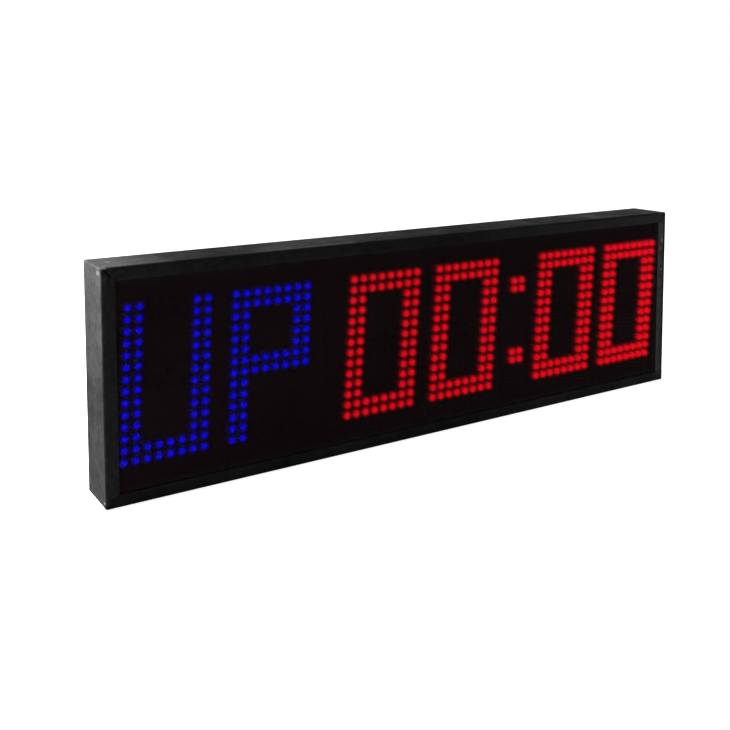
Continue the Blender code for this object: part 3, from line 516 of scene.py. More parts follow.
def rounded(half_x, half_z, radius, segments, centre=(0.0, 0.0)):
    outline = []
    for sx, sz, start in ((1, 1, 0), (-1, 1, 90), (-1, -1, 180), (1, -1, 270)):
        for i in range(segments + 1):
            a = math.radians(start + 90 * i / segments)
            outline.append(
                (
                    centre[0] + sx * (half_x - radius) + radius * math.cos(a),
                    centre[1] + sz * (half_z - radius) + radius * math.sin(a),
                )
            )
    return outline


def prism_mesh(name, outline, low, high, place, axis="Y"):
    """outline in millimetres round place, extruded from low to high along axis."""
    order = {"Y": lambda a, b, c: (a, c, b), "X": lambda a, b, c: (c, a, b)}[axis]
    count = len(outline)
    vertices = [order(a, b, low) for a, b in outline] + [order(a, b, high) for a, b in outline]
    faces = [tuple(range(count)), tuple(range(2 * count - 1, count - 1, -1))]
    faces += [(i, (i + 1) % count, count + (i + 1) % count, count + i) for i in range(count)]
    return tidy(mesh_of(name, vertices, faces, place))


def lathe_mesh(name, profile, count, place):
    """(radius, depth) points spun round the depth axis. Points on the axis close the shape."""
    vertices, rings = [], []
    for radius, depth in profile:
        if radius < 1e-6:
            rings.append([len(vertices)])
            vertices.append((0.0, depth, 0.0))
        else:
            rings.append(list(range(len(vertices), len(vertices) + count)))
            vertices += [(x, depth, z) for x, z in circle(radius, count)]
    faces = []
    for first, second in zip(rings, rings[1:]):
        for i in range(count):
            j = (i + 1) % count
            quad = [first[i % len(first)], first[j % len(first)], second[j % len(second)], second[i % len(second)]]
            corners = list(dict.fromkeys(quad))
            if len(corners) > 2:
                faces.append(tuple(corners))
    return tidy(mesh_of(name, vertices, faces, place))


def fillet(corner_from, corner, corner_to, radius, segments):
    """Points of an arc that rounds corner between two straight neighbours, in 2-D."""
    a, b, c = (Vector((*p, 0)) for p in (corner_from, corner, corner_to))
    to_a, to_c = (a - b).normalized(), (c - b).normalized()
    half = to_a.angle(to_c) / 2
    start, end = b + to_a * (radius / math.tan(half)), b + to_c * (radius / math.tan(half))
    centre = b + (to_a + to_c).normalized() * (radius / math.sin(half))
    first, last = start - centre, end - centre
    points = []
    for i in range(segments + 1):
        spoke = first.slerp(last, i / segments).normalized() * radius if first.angle(last) > 1e-4 else first
        points.append(((centre + spoke).x, (centre + spoke).y))
    return points


def softened(points, radii, segments=4):
    """A closed polygon with its corners rounded by radii, 0 for a sharp one."""
    outline = []
    for i, (point, radius) in enumerate(zip(points, radii)):
        if radius:
            outline += fillet(points[i - 1], point, points[(i + 1) % len(points)], radius, segments)
        else:
            outline.append(point)
    return outline


def softened_line(points, radii, segments=4):
    """As softened, for an open line whose ends stay."""
    outline = [points[0]]
    for i in range(1, len(points) - 1):
        if radii[i]:
            outline += fillet(points[i - 1], points[i], points[i + 1], radii[i], segments)
        else:
            outline.append(points[i])
    return outline + [points[-1]]


def shaped(name, base, cuts=(), within=(), bevel=0.0, bevel_segments=2, bevel_angle=40.0):
    """base mesh kept within some meshes and with others cut out, its edges bevelled, as one
    final mesh."""
    obj = bpy.data.objects.new(name + "_work", base)
    scene.collection.objects.link(obj)
    helpers = []
    steps = [("INTERSECT", mesh) for mesh in within] + [("DIFFERENCE", mesh) for mesh in cuts]
    for number, (operation, tool) in enumerate(steps):
        other = bpy.data.objects.new(f"{name}_tool_{number}", tool)
        scene.collection.objects.link(other)
        helpers.append(other)
        modifier = obj.modifiers.new(f"step {number}", "BOOLEAN")
        modifier.operation, modifier.object, modifier.solver = operation, other, "EXACT"
    if bevel:
        modifier = obj.modifiers.new("bevel", "BEVEL")
        modifier.width, modifier.segments = bevel * MM, bevel_segments
        modifier.limit_method, modifier.angle_limit = "ANGLE", math.radians(bevel_angle)
        modifier.harden_normals = False
    bpy.context.view_layer.update()
    graph = bpy.context.evaluated_depsgraph_get()
    made = bpy.data.meshes.new_from_object(obj.evaluated_get(graph))
    made.name = name
    for other in [obj, *helpers]:
        bpy.data.objects.remove(other, do_unlink=True)
    return made


def joined_mesh(name, meshes):
    shape = bmesh.new()
    for mesh in meshes:
        shape.from_mesh(mesh)
    made = bpy.data.meshes.new(name)
    shape.to_mesh(made)
    shape.free()
    return made


# ------------------------------------------------------------------ frame rails

MITRE_HALF_GAP = 0.012


def rail_section():
    """(u, v) of the extrusion with its edges rounded, and how open the mitre is there."""
    points = []
    for i in range(13):
        a = math.radians(90 * i / 12)
        points.append((EDGE_R - EDGE_R * math.cos(a), EDGE_R - EDGE_R * math.sin(a)))
    points += fillet((EDGE_R, 0), (LIP, 0.0), (LIP, LIP_T), 0.45, 5)
    points += fillet((LIP, 0), (LIP, LIP_T), (WALL, LIP_T), 0.2, 3)
    points.append((WALL, LIP_T))
    for v in (LENS_V[1] + 0.3, BOARD_V - 0.3 - RIB_T, BOARD_V + BOARD_T + 0.3):
        points += [(WALL, v), (RIB, v), (RIB, v + RIB_T), (WALL, v + RIB_T)]
    points += [(WALL, FLANGE_V[0])]
    points += fillet((WALL, FLANGE_V[0]), (FLANGE, FLANGE_V[0]), (FLANGE, FLANGE_V[1]), 0.3, 3)
    points += fillet((FLANGE, FLANGE_V[0]), (FLANGE, FLANGE_V[1]), (WALL, FLANGE_V[1]), 0.3, 3)
    points += [(WALL, FLANGE_V[1])]
    points += fillet((WALL, FLANGE_V[1]), (WALL, DEPTH), (0, DEPTH), 0.3, 4)
    points += fillet((WALL, DEPTH), (0, DEPTH), (0, EDGE_R), REAR_R, 6)
    points.append((0.0, DEPTH * 0.5))
    return points


def inward_normals(points):
    """Unit normals into the closed section at each of its points."""
    area = sum(a[0] * b[1] - b[0] * a[1] for a, b in zip(points, points[1:] + points[:1]))
    normals = []
    for i in range(len(points)):
        a, b = Vector(points[i - 1]), Vector(points[(i + 1) % len(points)])
        tangent = (b - a).normalized()
        normal = Vector((-tangent.y, tangent.x))
        normals.append(normal if area > 0 else -normal)
    return normals


def rail_mesh(name, length, place_of):
    """A rail swept along its side of the frame. Outside, the path turns the corner on an
    arc, inside it is a plain mitre, and each end stops at the mitre plane with a small
    rounding that leaves a hairline between the rails. place_of turns (along, v, u) into
    the model's metres, where along is measured from the middle of the side."""
    section = rail_section()
    inward = inward_normals(section)
    arc = [math.radians(45 + 45 * i / 6) for i in range(7)]  # from the mitre to the straight
    rings = []
    straight = [-0.5, -0.44, -0.36, -0.25, -0.12, 0.0, 0.12, 0.25, 0.36, 0.44, 0.5]

    def corner_points(u, inset, setback):
        """From the mitre plane to where the straight starts, measured from the casing's
        corner: (distance along the side, depth in from the side)."""
        radius = max(CORNER_R - u, 0.0)
        found = []
        for a in arc:
            along = u + radius - radius * math.cos(a) * 1.0 if radius else u
            deep = u + radius - radius * math.sin(a) if radius else u
            found.append((along, deep))
        return found

    ring_list = []
    half = length / 2
    for side in (-1, 1):
        ends = []
        for step in range(len(arc)):
            ring = []
            for (u, v), normal in zip(section, inward):
                along, deep = corner_points(u, 0, 0)[step]
                ring.append((side * (half - along), v, deep))
            ends.append(ring)
        # the end itself: set back from the mitre plane, then drawn in to a small rounding
        tips = []
        for setback, inset in ((MITRE_HALF_GAP, 0.22), (MITRE_HALF_GAP + 0.07, 0.07), (MITRE_HALF_GAP + 0.24, 0.0)):
            ring = []
            for (u, v), normal in zip(section, inward):
                front_edge = math.hypot(max(u - 0.0, 0), max(v - 0.0, 0))
                opened = 1.0 + 2.6 * max(0.0, 1.0 - front_edge / 3.4)
                u_in, v_in = u + normal.x * inset * opened, v + normal.y * inset * opened
                along, deep = corner_points(max(u_in, 0.0), 0, 0)[0]
                ring.append((side * (half - along - setback * opened), v_in, deep))
            tips.append(ring)
        ends[0] = tips[2]
        ordered = [tips[0], tips[1]] + ends
        ring_list.append(ordered)
    left, right = ring_list
    middle = []
    for share in straight[1:-1]:
        ring = [(share * (length - 24.0), v, u) for (u, v) in section]
        middle.append(ring)
    rings = left + middle + right[::-1]
    count = len(section)
    vertices = [place_of(*p) for ring in rings for p in ring]
    faces = []
    for k in range(len(rings) - 1):
        for i in range(count):
            j = (i + 1) % count
            faces.append((k * count + i, k * count + j, (k + 1) * count + j, (k + 1) * count + i))
    mesh = bpy.data.meshes.new(name)
    mesh.from_pydata([tuple(v) for v in vertices], [], faces)
    shape = bmesh.new()
    shape.from_mesh(mesh)
    bmesh.ops.remove_doubles(shape, verts=shape.verts, dist=2e-6)
    bmesh.ops.holes_fill(shape, edges=[e for e in shape.edges if e.is_boundary], sides=0)
    bmesh.ops.dissolve_degenerate(shape, dist=1e-7, edges=shape.edges)
    bmesh.ops.recalc_face_normals(shape, faces=shape.faces)
    shape.to_mesh(mesh)
    shape.free()
    return mesh


RAILS = (
    ("top", WIDTH, lambda a, v, u: at(WIDTH / 2 + a, v, HEIGHT - u)),
    ("bottom", WIDTH, lambda a, v, u: at(WIDTH / 2 + a, v, u)),
    ("left", HEIGHT, lambda a, v, u: at(u, v, HEIGHT / 2 + a)),
    ("right", HEIGHT, lambda a, v, u: at(WIDTH - u, v, HEIGHT / 2 + a)),
)
for side, length, place_of in RAILS:
    piece(
        f"rail_{side}",
        rail_mesh(f"rail_{side}", length, place_of),
        COAT,
        "casing",
        (f"frame_{side}",),
        sharp=30.0,
    )


# ------------------------------------------------------------------ front sheet

sheet_mesh = shaped(
    "front_sheet",
    prism_mesh(
        "front_sheet_blank",
        rounded(WIDTH / 2 - SHEET_EDGE, HEIGHT / 2 - SHEET_EDGE, 0.8, 4),
        LENS_V[0], LENS_V[1],
        at(WIDTH / 2, 0, HEIGHT / 2),
    ),
    bevel=0.15,
)
piece("front_sheet", sheet_mesh, SHEET, "casing", ("front_lens",))


# ------------------------------------------------------------------ LEDs and their boards


def stroke(shape, column, row):
    left, right = column < 2, column > 5
    top, middle, bottom = row < 2, row in (6, 7), row > 11
    return {
        "any": left or right or top or middle or bottom,
        "U": left or right or bottom,
        "P": left or top or middle or (right and row < 8),
        "0": left or right or top or bottom,
    }[shape]


def digit_leds(left, kind, shape):
    """Places of one digit's lit and unlit LEDs."""
    pitch, lean = kind[0], math.tan(math.radians(kind[1]))
    lit, unlit = [], []
    for row in range(ROWS):
        for column in range(COLUMNS):
            if stroke("any", column, row):
                rise = (ROWS - 1 - row) * ROW_PITCH
                place = (FIRST_LED_X + left + column * pitch + rise * lean, TOP_ROW_Z - row * ROW_PITCH)
                (lit if stroke(shape, column, row) else unlit).append(place)
    return lit, unlit


def colon_leds():
    return [
        (x + i * COLON_PITCH[0] / 2, z + j * COLON_PITCH[1] / 2)
        for x, z in COLON_AT
        for i in (-1, 1)
        for j in (-1, 1)
    ]


def led_profile():
    """Dome, body, flange and foot of a 5 mm lamp, as (radius, depth)."""
    dome = [(LED_R * math.sin(a), LED_TIP_V + LED_R * 1.02 * (1 - math.cos(a))) for a in np.radians([0, 14, 29, 44, 59, 74, 88])]
    return dome + [(LED_R, 7.4), (LED_R, 10.8), (2.9, 11.0), (2.9, 11.9), (2.5, BOARD_V), (0.0, BOARD_V)]


def lamps_mesh(name, places, count=20):
    profile = led_profile()
    ring_start, unit, faces = [], [], []
    for radius, depth in profile:
        ring_start.append((len(unit), 1 if radius < 1e-6 else count))
        unit += [(0.0, depth, 0.0)] if radius < 1e-6 else [(x, depth, z) for x, z in circle(radius, count)]
    for (a, na), (b, nb) in zip(ring_start, ring_start[1:]):
        for i in range(count):
            j = (i + 1) % count
            quad = [a + i % na, a + j % na, b + j % nb, b + i % nb]
            corners = list(dict.fromkeys(quad))
            if len(corners) > 2:
                faces.append(tuple(corners[::-1]))
    unit = np.array(unit)
    vertices, all_faces = [], []
    for x, z in places:
        base = len(vertices)
        spot = np.array(at(x, 0, z))
        vertices += (unit * MM + spot).tolist()
        all_faces += [tuple(base + i for i in f) for f in faces]
    mesh = bpy.data.meshes.new(name)
    mesh.from_pydata(vertices, [], all_faces)
    shape = bmesh.new()
    shape.from_mesh(mesh)
    bmesh.ops.recalc_face_normals(shape, faces=shape.faces)
    shape.to_mesh(mesh)
    shape.free()
    return mesh


def board_mesh(name, limits, chips, leads):
    """The board with the driver chips and the LED leads' solder cones on its back."""
    x0, x1 = limits
    middle = (x0 + x1) / 2
    plate = shaped(
        name + "_plate",
        prism_mesh(
            name + "_blank",
            rounded((x1 - x0) / 2, (BOARD_Z[1] - BOARD_Z[0]) / 2, 1.0, 4, (0, (BOARD_Z[0] + BOARD_Z[1]) / 2)),
            BOARD_V, BOARD_V + BOARD_T, at(middle, 0, 0),
        ),
        bevel=0.12,
    )
    parts = [plate]
    for x, z in chips:
        parts.append(
            shaped(
                name + "_chip",
                prism_mesh(name + "_body", rounded(5.0, 3.0, 0.2, 2), BOARD_V + BOARD_T + 0.15, BOARD_V + BOARD_T + 1.8, at(x, 0, z)),
                bevel=0.25,
            )
        )
        for i in range(8):
            for side in (-1, 1):
                parts.append(
                    prism_mesh(
                        name + "_leg",
                        rounded(0.2, 0.55, 0.08, 1),
                        BOARD_V + BOARD_T + 0.02, BOARD_V + BOARD_T + 0.5,
                        at(x - 4.4 + i * 1.257, 0, z + side * 3.6),
                    )
                )
    for x, z in leads:
        for side in (-1, 1):
            parts.append(
                lathe_mesh(
                    name + "_joint",
                    [(0, BOARD_V + BOARD_T + 0.02), (0.75, BOARD_V + BOARD_T + 0.02), (0.42, BOARD_V + BOARD_T + 0.45), (0.22, BOARD_V + BOARD_T + 1.1), (0, BOARD_V + BOARD_T + 1.2)],
                    6,
                    at(x + side * 1.27, 0, z),
                )
            )
    return joined_mesh(name, parts)


DIGITS = [digit_leds(left, kind, shape) for (left, kind), shape in zip(DIGIT_AT, "UP0000")]
BOARDS = (
    ("left", BOARD_X[0], DIGITS[0:2], "blue_leds", LED_BLUE, LED_BLUE_OFF, [(50, 100), (110, 100)]),
    ("centre", BOARD_X[1], DIGITS[2:4], "red_leds", LED_RED, LED_RED_OFF, [(215, 122), (275, 122)]),
    ("right", BOARD_X[3], DIGITS[4:6], "red_leds", LED_RED, LED_RED_OFF, [(380, 100), (440, 100)]),
)
for side, limits, digits, slot, lit_finish, unlit_finish, chips in BOARDS:
    lit = [p for d in digits for p in d[0]]
    unlit = [p for d in digits for p in d[1]]
    piece(f"leds_lit_{side}", lamps_mesh(f"leds_lit_{side}", lit), lit_finish, "casing", sharp=45.0, level=False)
    piece(f"leds_unlit_{side}", lamps_mesh(f"leds_unlit_{side}", unlit), unlit_finish, "casing", sharp=45.0, level=False)
    piece(
        f"board_plate_{side}",
        board_mesh(f"board_plate_{side}", limits, chips, lit + unlit),
        BOARD_BLACK, "casing", (f"led_board_{side}",),
    )
piece("leds_lit_colon", lamps_mesh("leds_lit_colon", colon_leds()), LED_RED, "casing", sharp=45.0, level=False)
piece(
    "board_plate_colon",
    board_mesh("board_plate_colon", BOARD_X[2], [], colon_leds()),
    BOARD_BLACK, "casing", ("colon_board",),
)


# ------------------------------------------------------------------ rear cover and its screws

cover_cuts = []
cover_cuts += [prism_mesh("hole", circle(1.7, 32), 30, 35, at(x, 0, z)) for x, z in COVER_SCREW_AT]
cover_cuts += [prism_mesh("hole", circle(2.3, 32), 30, 35, at(x, 0, HANGER_Z)) for x in HANGER_X]
cover_cuts += [prism_mesh("hole", circle(BUTTON_R + 0.3, 48), 30, 35, at(x, 0, BUTTON_Z)) for _, x in BUTTON_AT]
cover_cuts.append(prism_mesh("hole", circle(4.5, 48), 30, 35, at(JACK_AT[0], 0, JACK_AT[1])))
cover_cuts.append(prism_mesh("hole", rounded(4.8, 7.05, 0.4, 3), 30, 35, at(SWITCH_AT[0], 0, SWITCH_AT[1])))
for i in range(5):
    half = 5.5 - 1.1 * abs(i - 2)
    cover_cuts.append(
        prism_mesh("slot", rounded(0.8, half, 0.79, 6), 30, 35, at(BUZZER_AT[0] + (i - 2) * 3.2, 0, BUZZER_AT[1]))
    )
cover_cutter = joined_mesh("cover_holes", cover_cuts)
cover_mesh = shaped(
    "cover_plate",
    prism_mesh(
        "cover_blank",
        rounded(WIDTH / 2 - SHEET_EDGE, HEIGHT / 2 - SHEET_EDGE, 1.0, 4),
        COVER_V[0], COVER_V[1],
        at(WIDTH / 2, 0, HEIGHT / 2),
    ),
    cuts=[cover_cutter],
    bevel=0.22,
)
piece("cover_plate", cover_mesh, COAT_REAR, "casing", ("rear_cover",))


def cross_cutter(name, radius, wing, top, depth, place, turn):
    """A cross recess: four wings that narrow towards the bottom."""
    def outline(reach, half):
        points = []
        for k in range(4):
            c, s = math.cos(turn + k * math.pi / 2), math.sin(turn + k * math.pi / 2)
            for a, b in ((half, -half), (reach, -half), (reach, half)):
                points.append((a * c - b * s, a * s + b * c))
        return points
    upper, lower = outline(radius, wing), outline(radius * 0.5, wing * 0.7)
    count = len(upper)
    vertices = [(x, top, z) for x, z in upper] + [(x, top - depth, z) for x, z in lower]
    faces = [tuple(range(count)), tuple(range(2 * count - 1, count - 1, -1))]
    faces += [(i, (i + 1) % count, count + (i + 1) % count, count + i) for i in range(count)]
    return tidy(mesh_of(name, vertices, faces, place))


def pan_screw(name, place, shank_r, shank_from, seat, head_r, top, turn, wing):
    """Pan head, cross recess and plain shank. Depths are measured towards the rear."""
    height = top - seat
    crown = [
        (head_r * math.sin(a), seat + height * 0.42 + (height * 0.58) * math.cos(a))
        for a in np.radians([0, 12, 24, 36, 48, 60, 72, 84, 90])
    ]
    profile = [(0, shank_from), (shank_r - 0.3, shank_from), (shank_r, shank_from + 0.35), (shank_r, seat)]
    profile += [(head_r - 0.12, seat), (head_r, seat + 0.12)] + crown[::-1][:-1] + [(0, top)]
    body = lathe_mesh(name, profile, 40, place)
    recess = cross_cutter(name + "_recess", head_r * 0.58, wing, top + 0.3, height * 0.95 + 0.3, place, turn)
    return shaped(name, body, cuts=[recess], bevel=0.05, bevel_segments=2, bevel_angle=50.0)


rng = random.Random(7)
for number, (x, z) in enumerate(COVER_SCREW_AT, 1):
    turn = rng.uniform(0, math.pi / 2)
    piece(
        f"panhead_{number}",
        pan_screw(f"panhead_{number}", at(x, 0, z), 1.4, 28.0, COVER_V[1] + 0.3, 2.8, 35.2, turn, 0.36),
        BLACK_STEEL, "casing", (f"cover_screw_{number}",),
    )


# ------------------------------------------------------------------ hangers


def slot_outline(entry_s=24.0, entry_r=5.0, slot_s=33.0, slot_r=2.5, arc=40):
    start = math.asin(slot_r / entry_r)
    outline = []
    for i in range(arc + 1):
        angle = start + (2 * math.pi - 2 * start) * i / arc
        outline.append((entry_r * math.sin(angle), -entry_s - entry_r * math.cos(angle)))
    for i in range(17):
        angle = math.pi * i / 16
        outline.append((-slot_r * math.cos(angle), -slot_s - slot_r * math.sin(angle)))
    return outline


def tab_profile():
    """Side view of the sheet as (depth, height) about the pivot, its two bends rounded."""
    half = (HANGER_V[1] - HANGER_V[0]) / 2
    shift = 2 * half * math.tan(math.radians(22.5))
    top, bottom = HANGER_R + 2, -HANGER_REACH - HANGER_R - 2
    points = [
        (-half, top), (-half, -HANGER_BEND), (HANGER_STEP - half, -HANGER_BEND - HANGER_STEP),
        (HANGER_STEP - half, bottom), (HANGER_STEP + half, bottom),
        (HANGER_STEP + half, -HANGER_BEND - HANGER_STEP + shift), (half, -HANGER_BEND + shift), (half, top),
    ]
    return softened(points, (0, 2.0, 0.5, 0, 0, 2.0, 0.5, 0), 6)


def tab_outline():
    outline = [(HANGER_R * math.cos(math.pi * i / 32), HANGER_R * math.sin(math.pi * i / 32)) for i in range(33)]
    outline += [
        (HANGER_R * math.cos(math.pi + math.pi * i / 32), -HANGER_REACH + HANGER_R * math.sin(math.pi + math.pi * i / 32))
        for i in range(33)
    ]
    return outline


for side, x in zip(("left", "right"), HANGER_X):
    place = at(x, 0, HANGER_Z)
    tab = shaped(
        f"tab_plate_{side}",
        prism_mesh("tab", tab_profile(), -HANGER_R - 1, HANGER_R + 1, at(x, sum(HANGER_V) / 2, HANGER_Z), "X"),
        within=[prism_mesh("tab_blank", tab_outline(), 33, 43, place)],
        cuts=[
            joined_mesh(
                "tab_holes",
                [
                    prism_mesh("hole", circle(2.3, 40), 32, 44, place),
                    prism_mesh("keyhole", slot_outline(), 32, 44, place),
                ],
            )
        ],
        bevel=0.18,
        bevel_segments=2,
    )
    piece(f"tab_plate_{side}", tab, ZINC, f"tab_{side}", (f"hanger_{side}",))
    piece(
        f"pivot_screw_{side}",
        pan_screw(f"pivot_screw_{side}", place, 2.0, 27.5, HANGER_V[1] + 0.3, 4.2, 39.4, rng.uniform(0, 1.5), 0.5),
        ZINC_TURNED, "casing", (f"hanger_screw_{side}",),
    )
    collar = [(2.3, 33.6), (4.45, 33.6), (4.6, 33.75), (4.6, 34.95), (4.45, 35.1), (2.3, 35.1), (2.3, 33.6)]
    piece(
        f"collar_{side}", lathe_mesh(f"collar_{side}", collar, 48, place),
        NYLON, "casing", (f"hanger_spacer_{side}",),
    )


# ------------------------------------------------------------------ rocker switch

switch_place = at(SWITCH_AT[0], 0, SWITCH_AT[1])
bezel = shaped(
    "switch_bezel",
    joined_mesh(
        "switch_blank",
        [prism_mesh("bezel", rounded(5.75, 8.2, 1.0, 8), COVER_V[1] + 0.3, 35.2, switch_place)],
    ),
    cuts=[prism_mesh("well", rounded(3.7, 5.95, 0.3, 3), 28.6, 37.0, switch_place)],
    bevel=0.28,
    bevel_segments=3,
)
case = shaped(
    "switch_case",
    prism_mesh("case", rounded(4.5, 6.75, 0.3, 3), 21.5, COVER_V[1] + 0.35, switch_place),
    cuts=[prism_mesh("well", rounded(3.7, 5.95, 0.3, 3), 28.6, 37.0, switch_place)],
    bevel=0.1,
)
piece(
    "switch_shell", joined_mesh("switch_shell", [bezel, case]), PLASTIC, "casing", ("switch_housing",)
)


def rocker_mesh():
    """The cap about its pivot, untilted: a dished face that rises to both ends."""
    hx, hz = 3.4, 5.3
    rise = 3.3 + hz * math.tan(SWITCH_TILT)
    face = []
    for i in range(25):
        h = -hz + 2 * hz * i / 24
        blend = abs(h) / hz
        depth = 3.3 + (rise - 3.3) * (0.35 * blend + 0.65 * blend**2)
        face.append((h, depth))
    outline = [(-hz, -1.6), (-3.4, -3.0), (3.4, -3.0), (hz, -1.6)] + face[::-1]
    mesh = prism_mesh("rocker", [(d, h) for h, d in outline], -hx, hx, Vector((0, 0, 0)), "X")
    return shaped("rocker_cap", mesh, bevel=0.3, bevel_segments=3, bevel_angle=50.0)


pivot = at(SWITCH_AT[0], SWITCH_PIVOT_V, SWITCH_AT[1])
tilt = Matrix.Translation(pivot) @ Matrix.Rotation(SWITCH_TILT, 4, "X")
cap_mesh = rocker_mesh()
cap_mesh.transform(tilt)
cap = piece("rocker_cap", cap_mesh, ROCKER, "rocker", ("switch_rocker",))


def face_depth(h):
    blend = abs(h) / 5.3
    rise = 3.3 + 5.3 * math.tan(SWITCH_TILT)
    return 3.3 + (rise - 3.3) * (0.35 * blend + 0.65 * blend**2)


def mark_mesh(name, outline, inner=None):
    """A thin printed mark that follows the dished face. outline is (x, height)."""
    rows = []
    count = len(outline)
    if inner:
        vertices = [(x, face_depth(h) + 0.03, h) for x, h in outline] + [(x, face_depth(h) + 0.03, h) for x, h in inner]
        vertices += [(x, face_depth(h) - 0.05, h) for x, h in outline] + [(x, face_depth(h) - 0.05, h) for x, h in inner]
        faces = []
        for i in range(count):
            j = (i + 1) % count
            faces.append((i, j, count + j, count + i))
            faces.append((2 * count + i, 3 * count + i, 3 * count + j, 2 * count + j))
            faces.append((i, 2 * count + i, 2 * count + j, j))
            faces.append((count + i, count + j, 3 * count + j, 3 * count + i))
    else:
        vertices = [(x, face_depth(h) + 0.03, h) for x, h in outline] + [(x, face_depth(h) - 0.05, h) for x, h in outline]
        faces = [tuple(range(count)), tuple(range(2 * count - 1, count - 1, -1))]
        faces += [(i, (i + 1) % count, count + (i + 1) % count, count + i) for i in range(count)]
    mesh = tidy(mesh_of(name, vertices, faces))
    mesh.transform(tilt)
    return mesh


ring_outer = [(1.05 * math.cos(2 * math.pi * i / 32), -2.9 + 1.05 * math.sin(2 * math.pi * i / 32)) for i in range(32)]
ring_inner = [(0.78 * math.cos(2 * math.pi * i / 32), -2.9 + 0.78 * math.sin(2 * math.pi * i / 32)) for i in range(32)]
piece("mark_off", mark_mesh("mark_off", ring_outer, ring_inner), PAINT, "rocker")
piece(
    "mark_on", mark_mesh("mark_on", [(-0.15, 1.85), (0.15, 1.85), (0.15, 3.95), (-0.15, 3.95)]), PAINT, "rocker"
)


# ------------------------------------------------------------------ set buttons and power socket

for name, x in BUTTON_AT:
    profile = [
        (0, 25.2), (1.6, 25.2), (1.75, 25.35), (1.75, 29.7), (4.55, 29.7), (4.7, 29.85), (4.7, 31.0), (BUTTON_R, 31.0),
        (BUTTON_R, 34.35), (BUTTON_R - 0.08, 34.6), (BUTTON_R - 0.28, 34.85), (BUTTON_R - 0.55, 34.98), (BUTTON_R - 0.8, 35.0),
        (BUTTON_R - 1.1, 34.93), (1.6, 34.72), (0.8, 34.58), (0, 34.53),
    ]
    piece(
        f"keycap_{name}", lathe_mesh(f"keycap_{name}", profile, 48, at(x, 0, BUTTON_Z)),
        RUBBER, f"button_{name}", (f"set_button_{name}",),
    )

jack_place = at(JACK_AT[0], 0, JACK_AT[1])
bore = lathe_mesh("bore", [(0, 19.0), (1.3, 19.0), (1.3, 22.0), (SOCKET_R, 22.0), (SOCKET_R, 30.7), (SOCKET_R + 0.35, 31.05), (SOCKET_R + 0.35, 32.0), (0, 32.0)], 48, jack_place)
jack_mesh = shaped(
    "socket_body",
    prism_mesh("jack", rounded(4.6, 5.6, 0.5, 4), 20.3, 31.0, jack_place),
    cuts=[bore],
    bevel=0.12,
)
piece("socket_body", jack_mesh, PLASTIC, "casing", ("dc_jack",))
piece(
    "socket_pin",
    lathe_mesh("socket_pin", [(0, 20.6), (1.0, 20.6), (1.0, 29.2), (0.92, 29.6), (0.7, 29.88), (0.35, 29.98), (0, 30.0)], 32, jack_place),
    ZINC_TURNED, "casing", ("dc_jack_pin",),
)


# ------------------------------------------------------------------ inner pieces keep their solids

INNER = {
    "corner_key_top_left": ALUMINIUM, "corner_key_top_right": ALUMINIUM,
    "corner_key_bottom_left": ALUMINIUM, "corner_key_bottom_right": ALUMINIUM,
    "ir_receiver": RESIN, "main_board": BOARD_GREEN, "mcu_chip": RESIN, "buzzer": PLASTIC,
    "filter_capacitor": SLEEVE, "coin_cell_holder": PLASTIC, "coin_cell": CELL,
    "board_standoff_1": BRASS, "board_standoff_2": BRASS, "board_standoff_3": BRASS, "board_standoff_4": BRASS,
    "board_screw_1": ZINC_TURNED, "board_screw_2": ZINC_TURNED, "board_screw_3": ZINC_TURNED, "board_screw_4": ZINC_TURNED,
    "tact_switch_1": RESIN, "tact_switch_2": RESIN, "tact_switch_3": RESIN,
    "ribbon_left": RIBBON, "ribbon_right": RIBBON, "colon_link": RIBBON, "header_link": PLASTIC,
    "hanger_nut_left": ZINC_TURNED, "hanger_nut_right": ZINC_TURNED,
}
for name, finish in INNER.items():
    mesh = nodes[name].data
    mesh.materials.clear()
    mesh.materials.append(finish)


# ------------------------------------------------------------------ stage, light and camera

floor_mesh = bpy.data.meshes.new("floor")
reach = 14.0
floor_mesh.from_pydata([(-reach, -reach, -0.0002), (reach, -reach, -0.0002), (reach, reach, -0.0002), (-reach, reach, -0.0002)], [], [(0, 1, 2, 3)])
floor = bpy.data.objects.new("floor", floor_mesh)
scene.collection.objects.link(floor)
ground = Nodes("pale_floor")
ground.plain(Roughness=0.75, Specular_IOR_Level=0.1, Emission_Color=(1.0, 1.0, 1.0, 1.0), Emission_Strength=0.8)
ground.colour(ground.blend(ground.spread(ground.noise(3.0), 0.3, 0.7), (0.44, 0.44, 0.44), (0.47, 0.47, 0.47)))
floor_mesh.materials.append(ground.material)

world = bpy.data.worlds.new("studio")
scene.world = world
world.use_nodes = True
world.node_tree.nodes["Background"].inputs["Color"].default_value = (1.0, 1.0, 1.0, 1.0)
world.node_tree.nodes["Background"].inputs["Strength"].default_value = 1.0


def softbox(name, place, aim, size, watts, colour=(1.0, 1.0, 1.0)):
    light = bpy.data.lights.new(name, "AREA")
    light.shape = "RECTANGLE"
    light.size, light.size_y = size
    light.energy = watts
    light.color = colour
    obj = bpy.data.objects.new(name, light)
    scene.collection.objects.link(obj)
    obj.location = place
    obj.rotation_euler = (Vector(aim) - Vector(place)).to_track_quat("-Z", "Y").to_euler()
    return obj


softbox("softbox_back_left", (-0.6, 0.36, 0.4), (-0.245, 0.0, 0.09), (0.3, 0.3), 27.0)
softbox("softbox_top", (0.1, 0.5, 1.9), (0.0, 0.1, 0.0), (2.0, 1.4), 4.0)

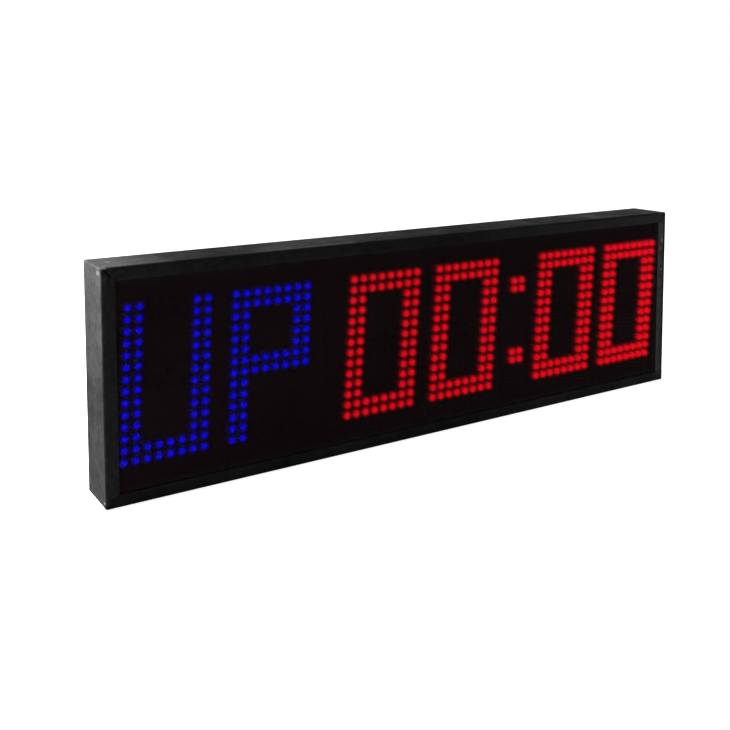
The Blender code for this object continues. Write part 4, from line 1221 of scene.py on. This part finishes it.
camera_data = bpy.data.cameras.new("camera")
camera_data.sensor_width = 36.0
camera_data.lens = 47.504
camera_data.shift_x = -0.01569
camera_data.shift_y = -0.26849
camera_data.clip_start, camera_data.clip_end = 0.01, 60.0
camera = bpy.data.objects.new("camera", camera_data)
scene.collection.objects.link(camera)
camera.location = (-0.415, -0.57976, 0.25149)
camera.rotation_euler = (math.radians(85.4515), 0.0, math.radians(-32.898))
scene.camera = camera
scene.view_settings.view_transform = "Standard"
scene.view_settings.look = "None"


def lamp_glow(radius, share):
    """The soft edge that a lens gives to lit lamps: only light that is much redder or much
    bluer than white is spread, so white and grey parts of the picture stay as they are.
    radius is a share of the picture's width."""
    scene.use_nodes = True
    tree = scene.node_tree
    tree.nodes.clear()

    def add(kind, **settings):
        made = tree.nodes.new(kind)
        for key, value in settings.items():
            setattr(made, key, value)
        return made

    def calc(operation, a, b):
        made = add("CompositorNodeMath", operation=operation)
        for socket, value in zip(made.inputs, (a, b)):
            if isinstance(value, (int, float)):
                socket.default_value = value
            else:
                tree.links.new(value, socket)
        return made.outputs[0]

    picture = add("CompositorNodeRLayers")
    split = add("CompositorNodeSeparateColor")
    tree.links.new(picture.outputs["Image"], split.inputs[0])
    red, green, blue = split.outputs[0], split.outputs[1], split.outputs[2]
    lamps = add("CompositorNodeCombineColor")
    tree.links.new(calc("MAXIMUM", calc("SUBTRACT", red, calc("MAXIMUM", green, blue)), 0.0), lamps.inputs[0])
    tree.links.new(calc("MAXIMUM", calc("SUBTRACT", blue, calc("MAXIMUM", red, green)), 0.0), lamps.inputs[2])
    size = add("CompositorNodeRelativeToPixel", data_type="FLOAT", reference_dimension="X")
    size.inputs[1].default_value = radius
    tree.links.new(picture.outputs["Image"], size.inputs["Image"])
    spread = add("CompositorNodeBlur", filter_type="GAUSS")
    tree.links.new(lamps.outputs[0], spread.inputs["Image"])
    tree.links.new(size.outputs[0], spread.inputs["Size"])
    without = add("CompositorNodeMixRGB", blend_type="SUBTRACT")
    without.inputs[0].default_value = share
    tree.links.new(picture.outputs["Image"], without.inputs[1])
    tree.links.new(lamps.outputs[0], without.inputs[2])
    together = add("CompositorNodeMixRGB", blend_type="ADD")
    together.inputs[0].default_value = share
    tree.links.new(without.outputs[0], together.inputs[1])
    tree.links.new(spread.outputs[0], together.inputs[2])
    result = add("CompositorNodeComposite")
    tree.links.new(together.outputs[0], result.inputs[0])


lamp_glow(0.0047, 0.85)
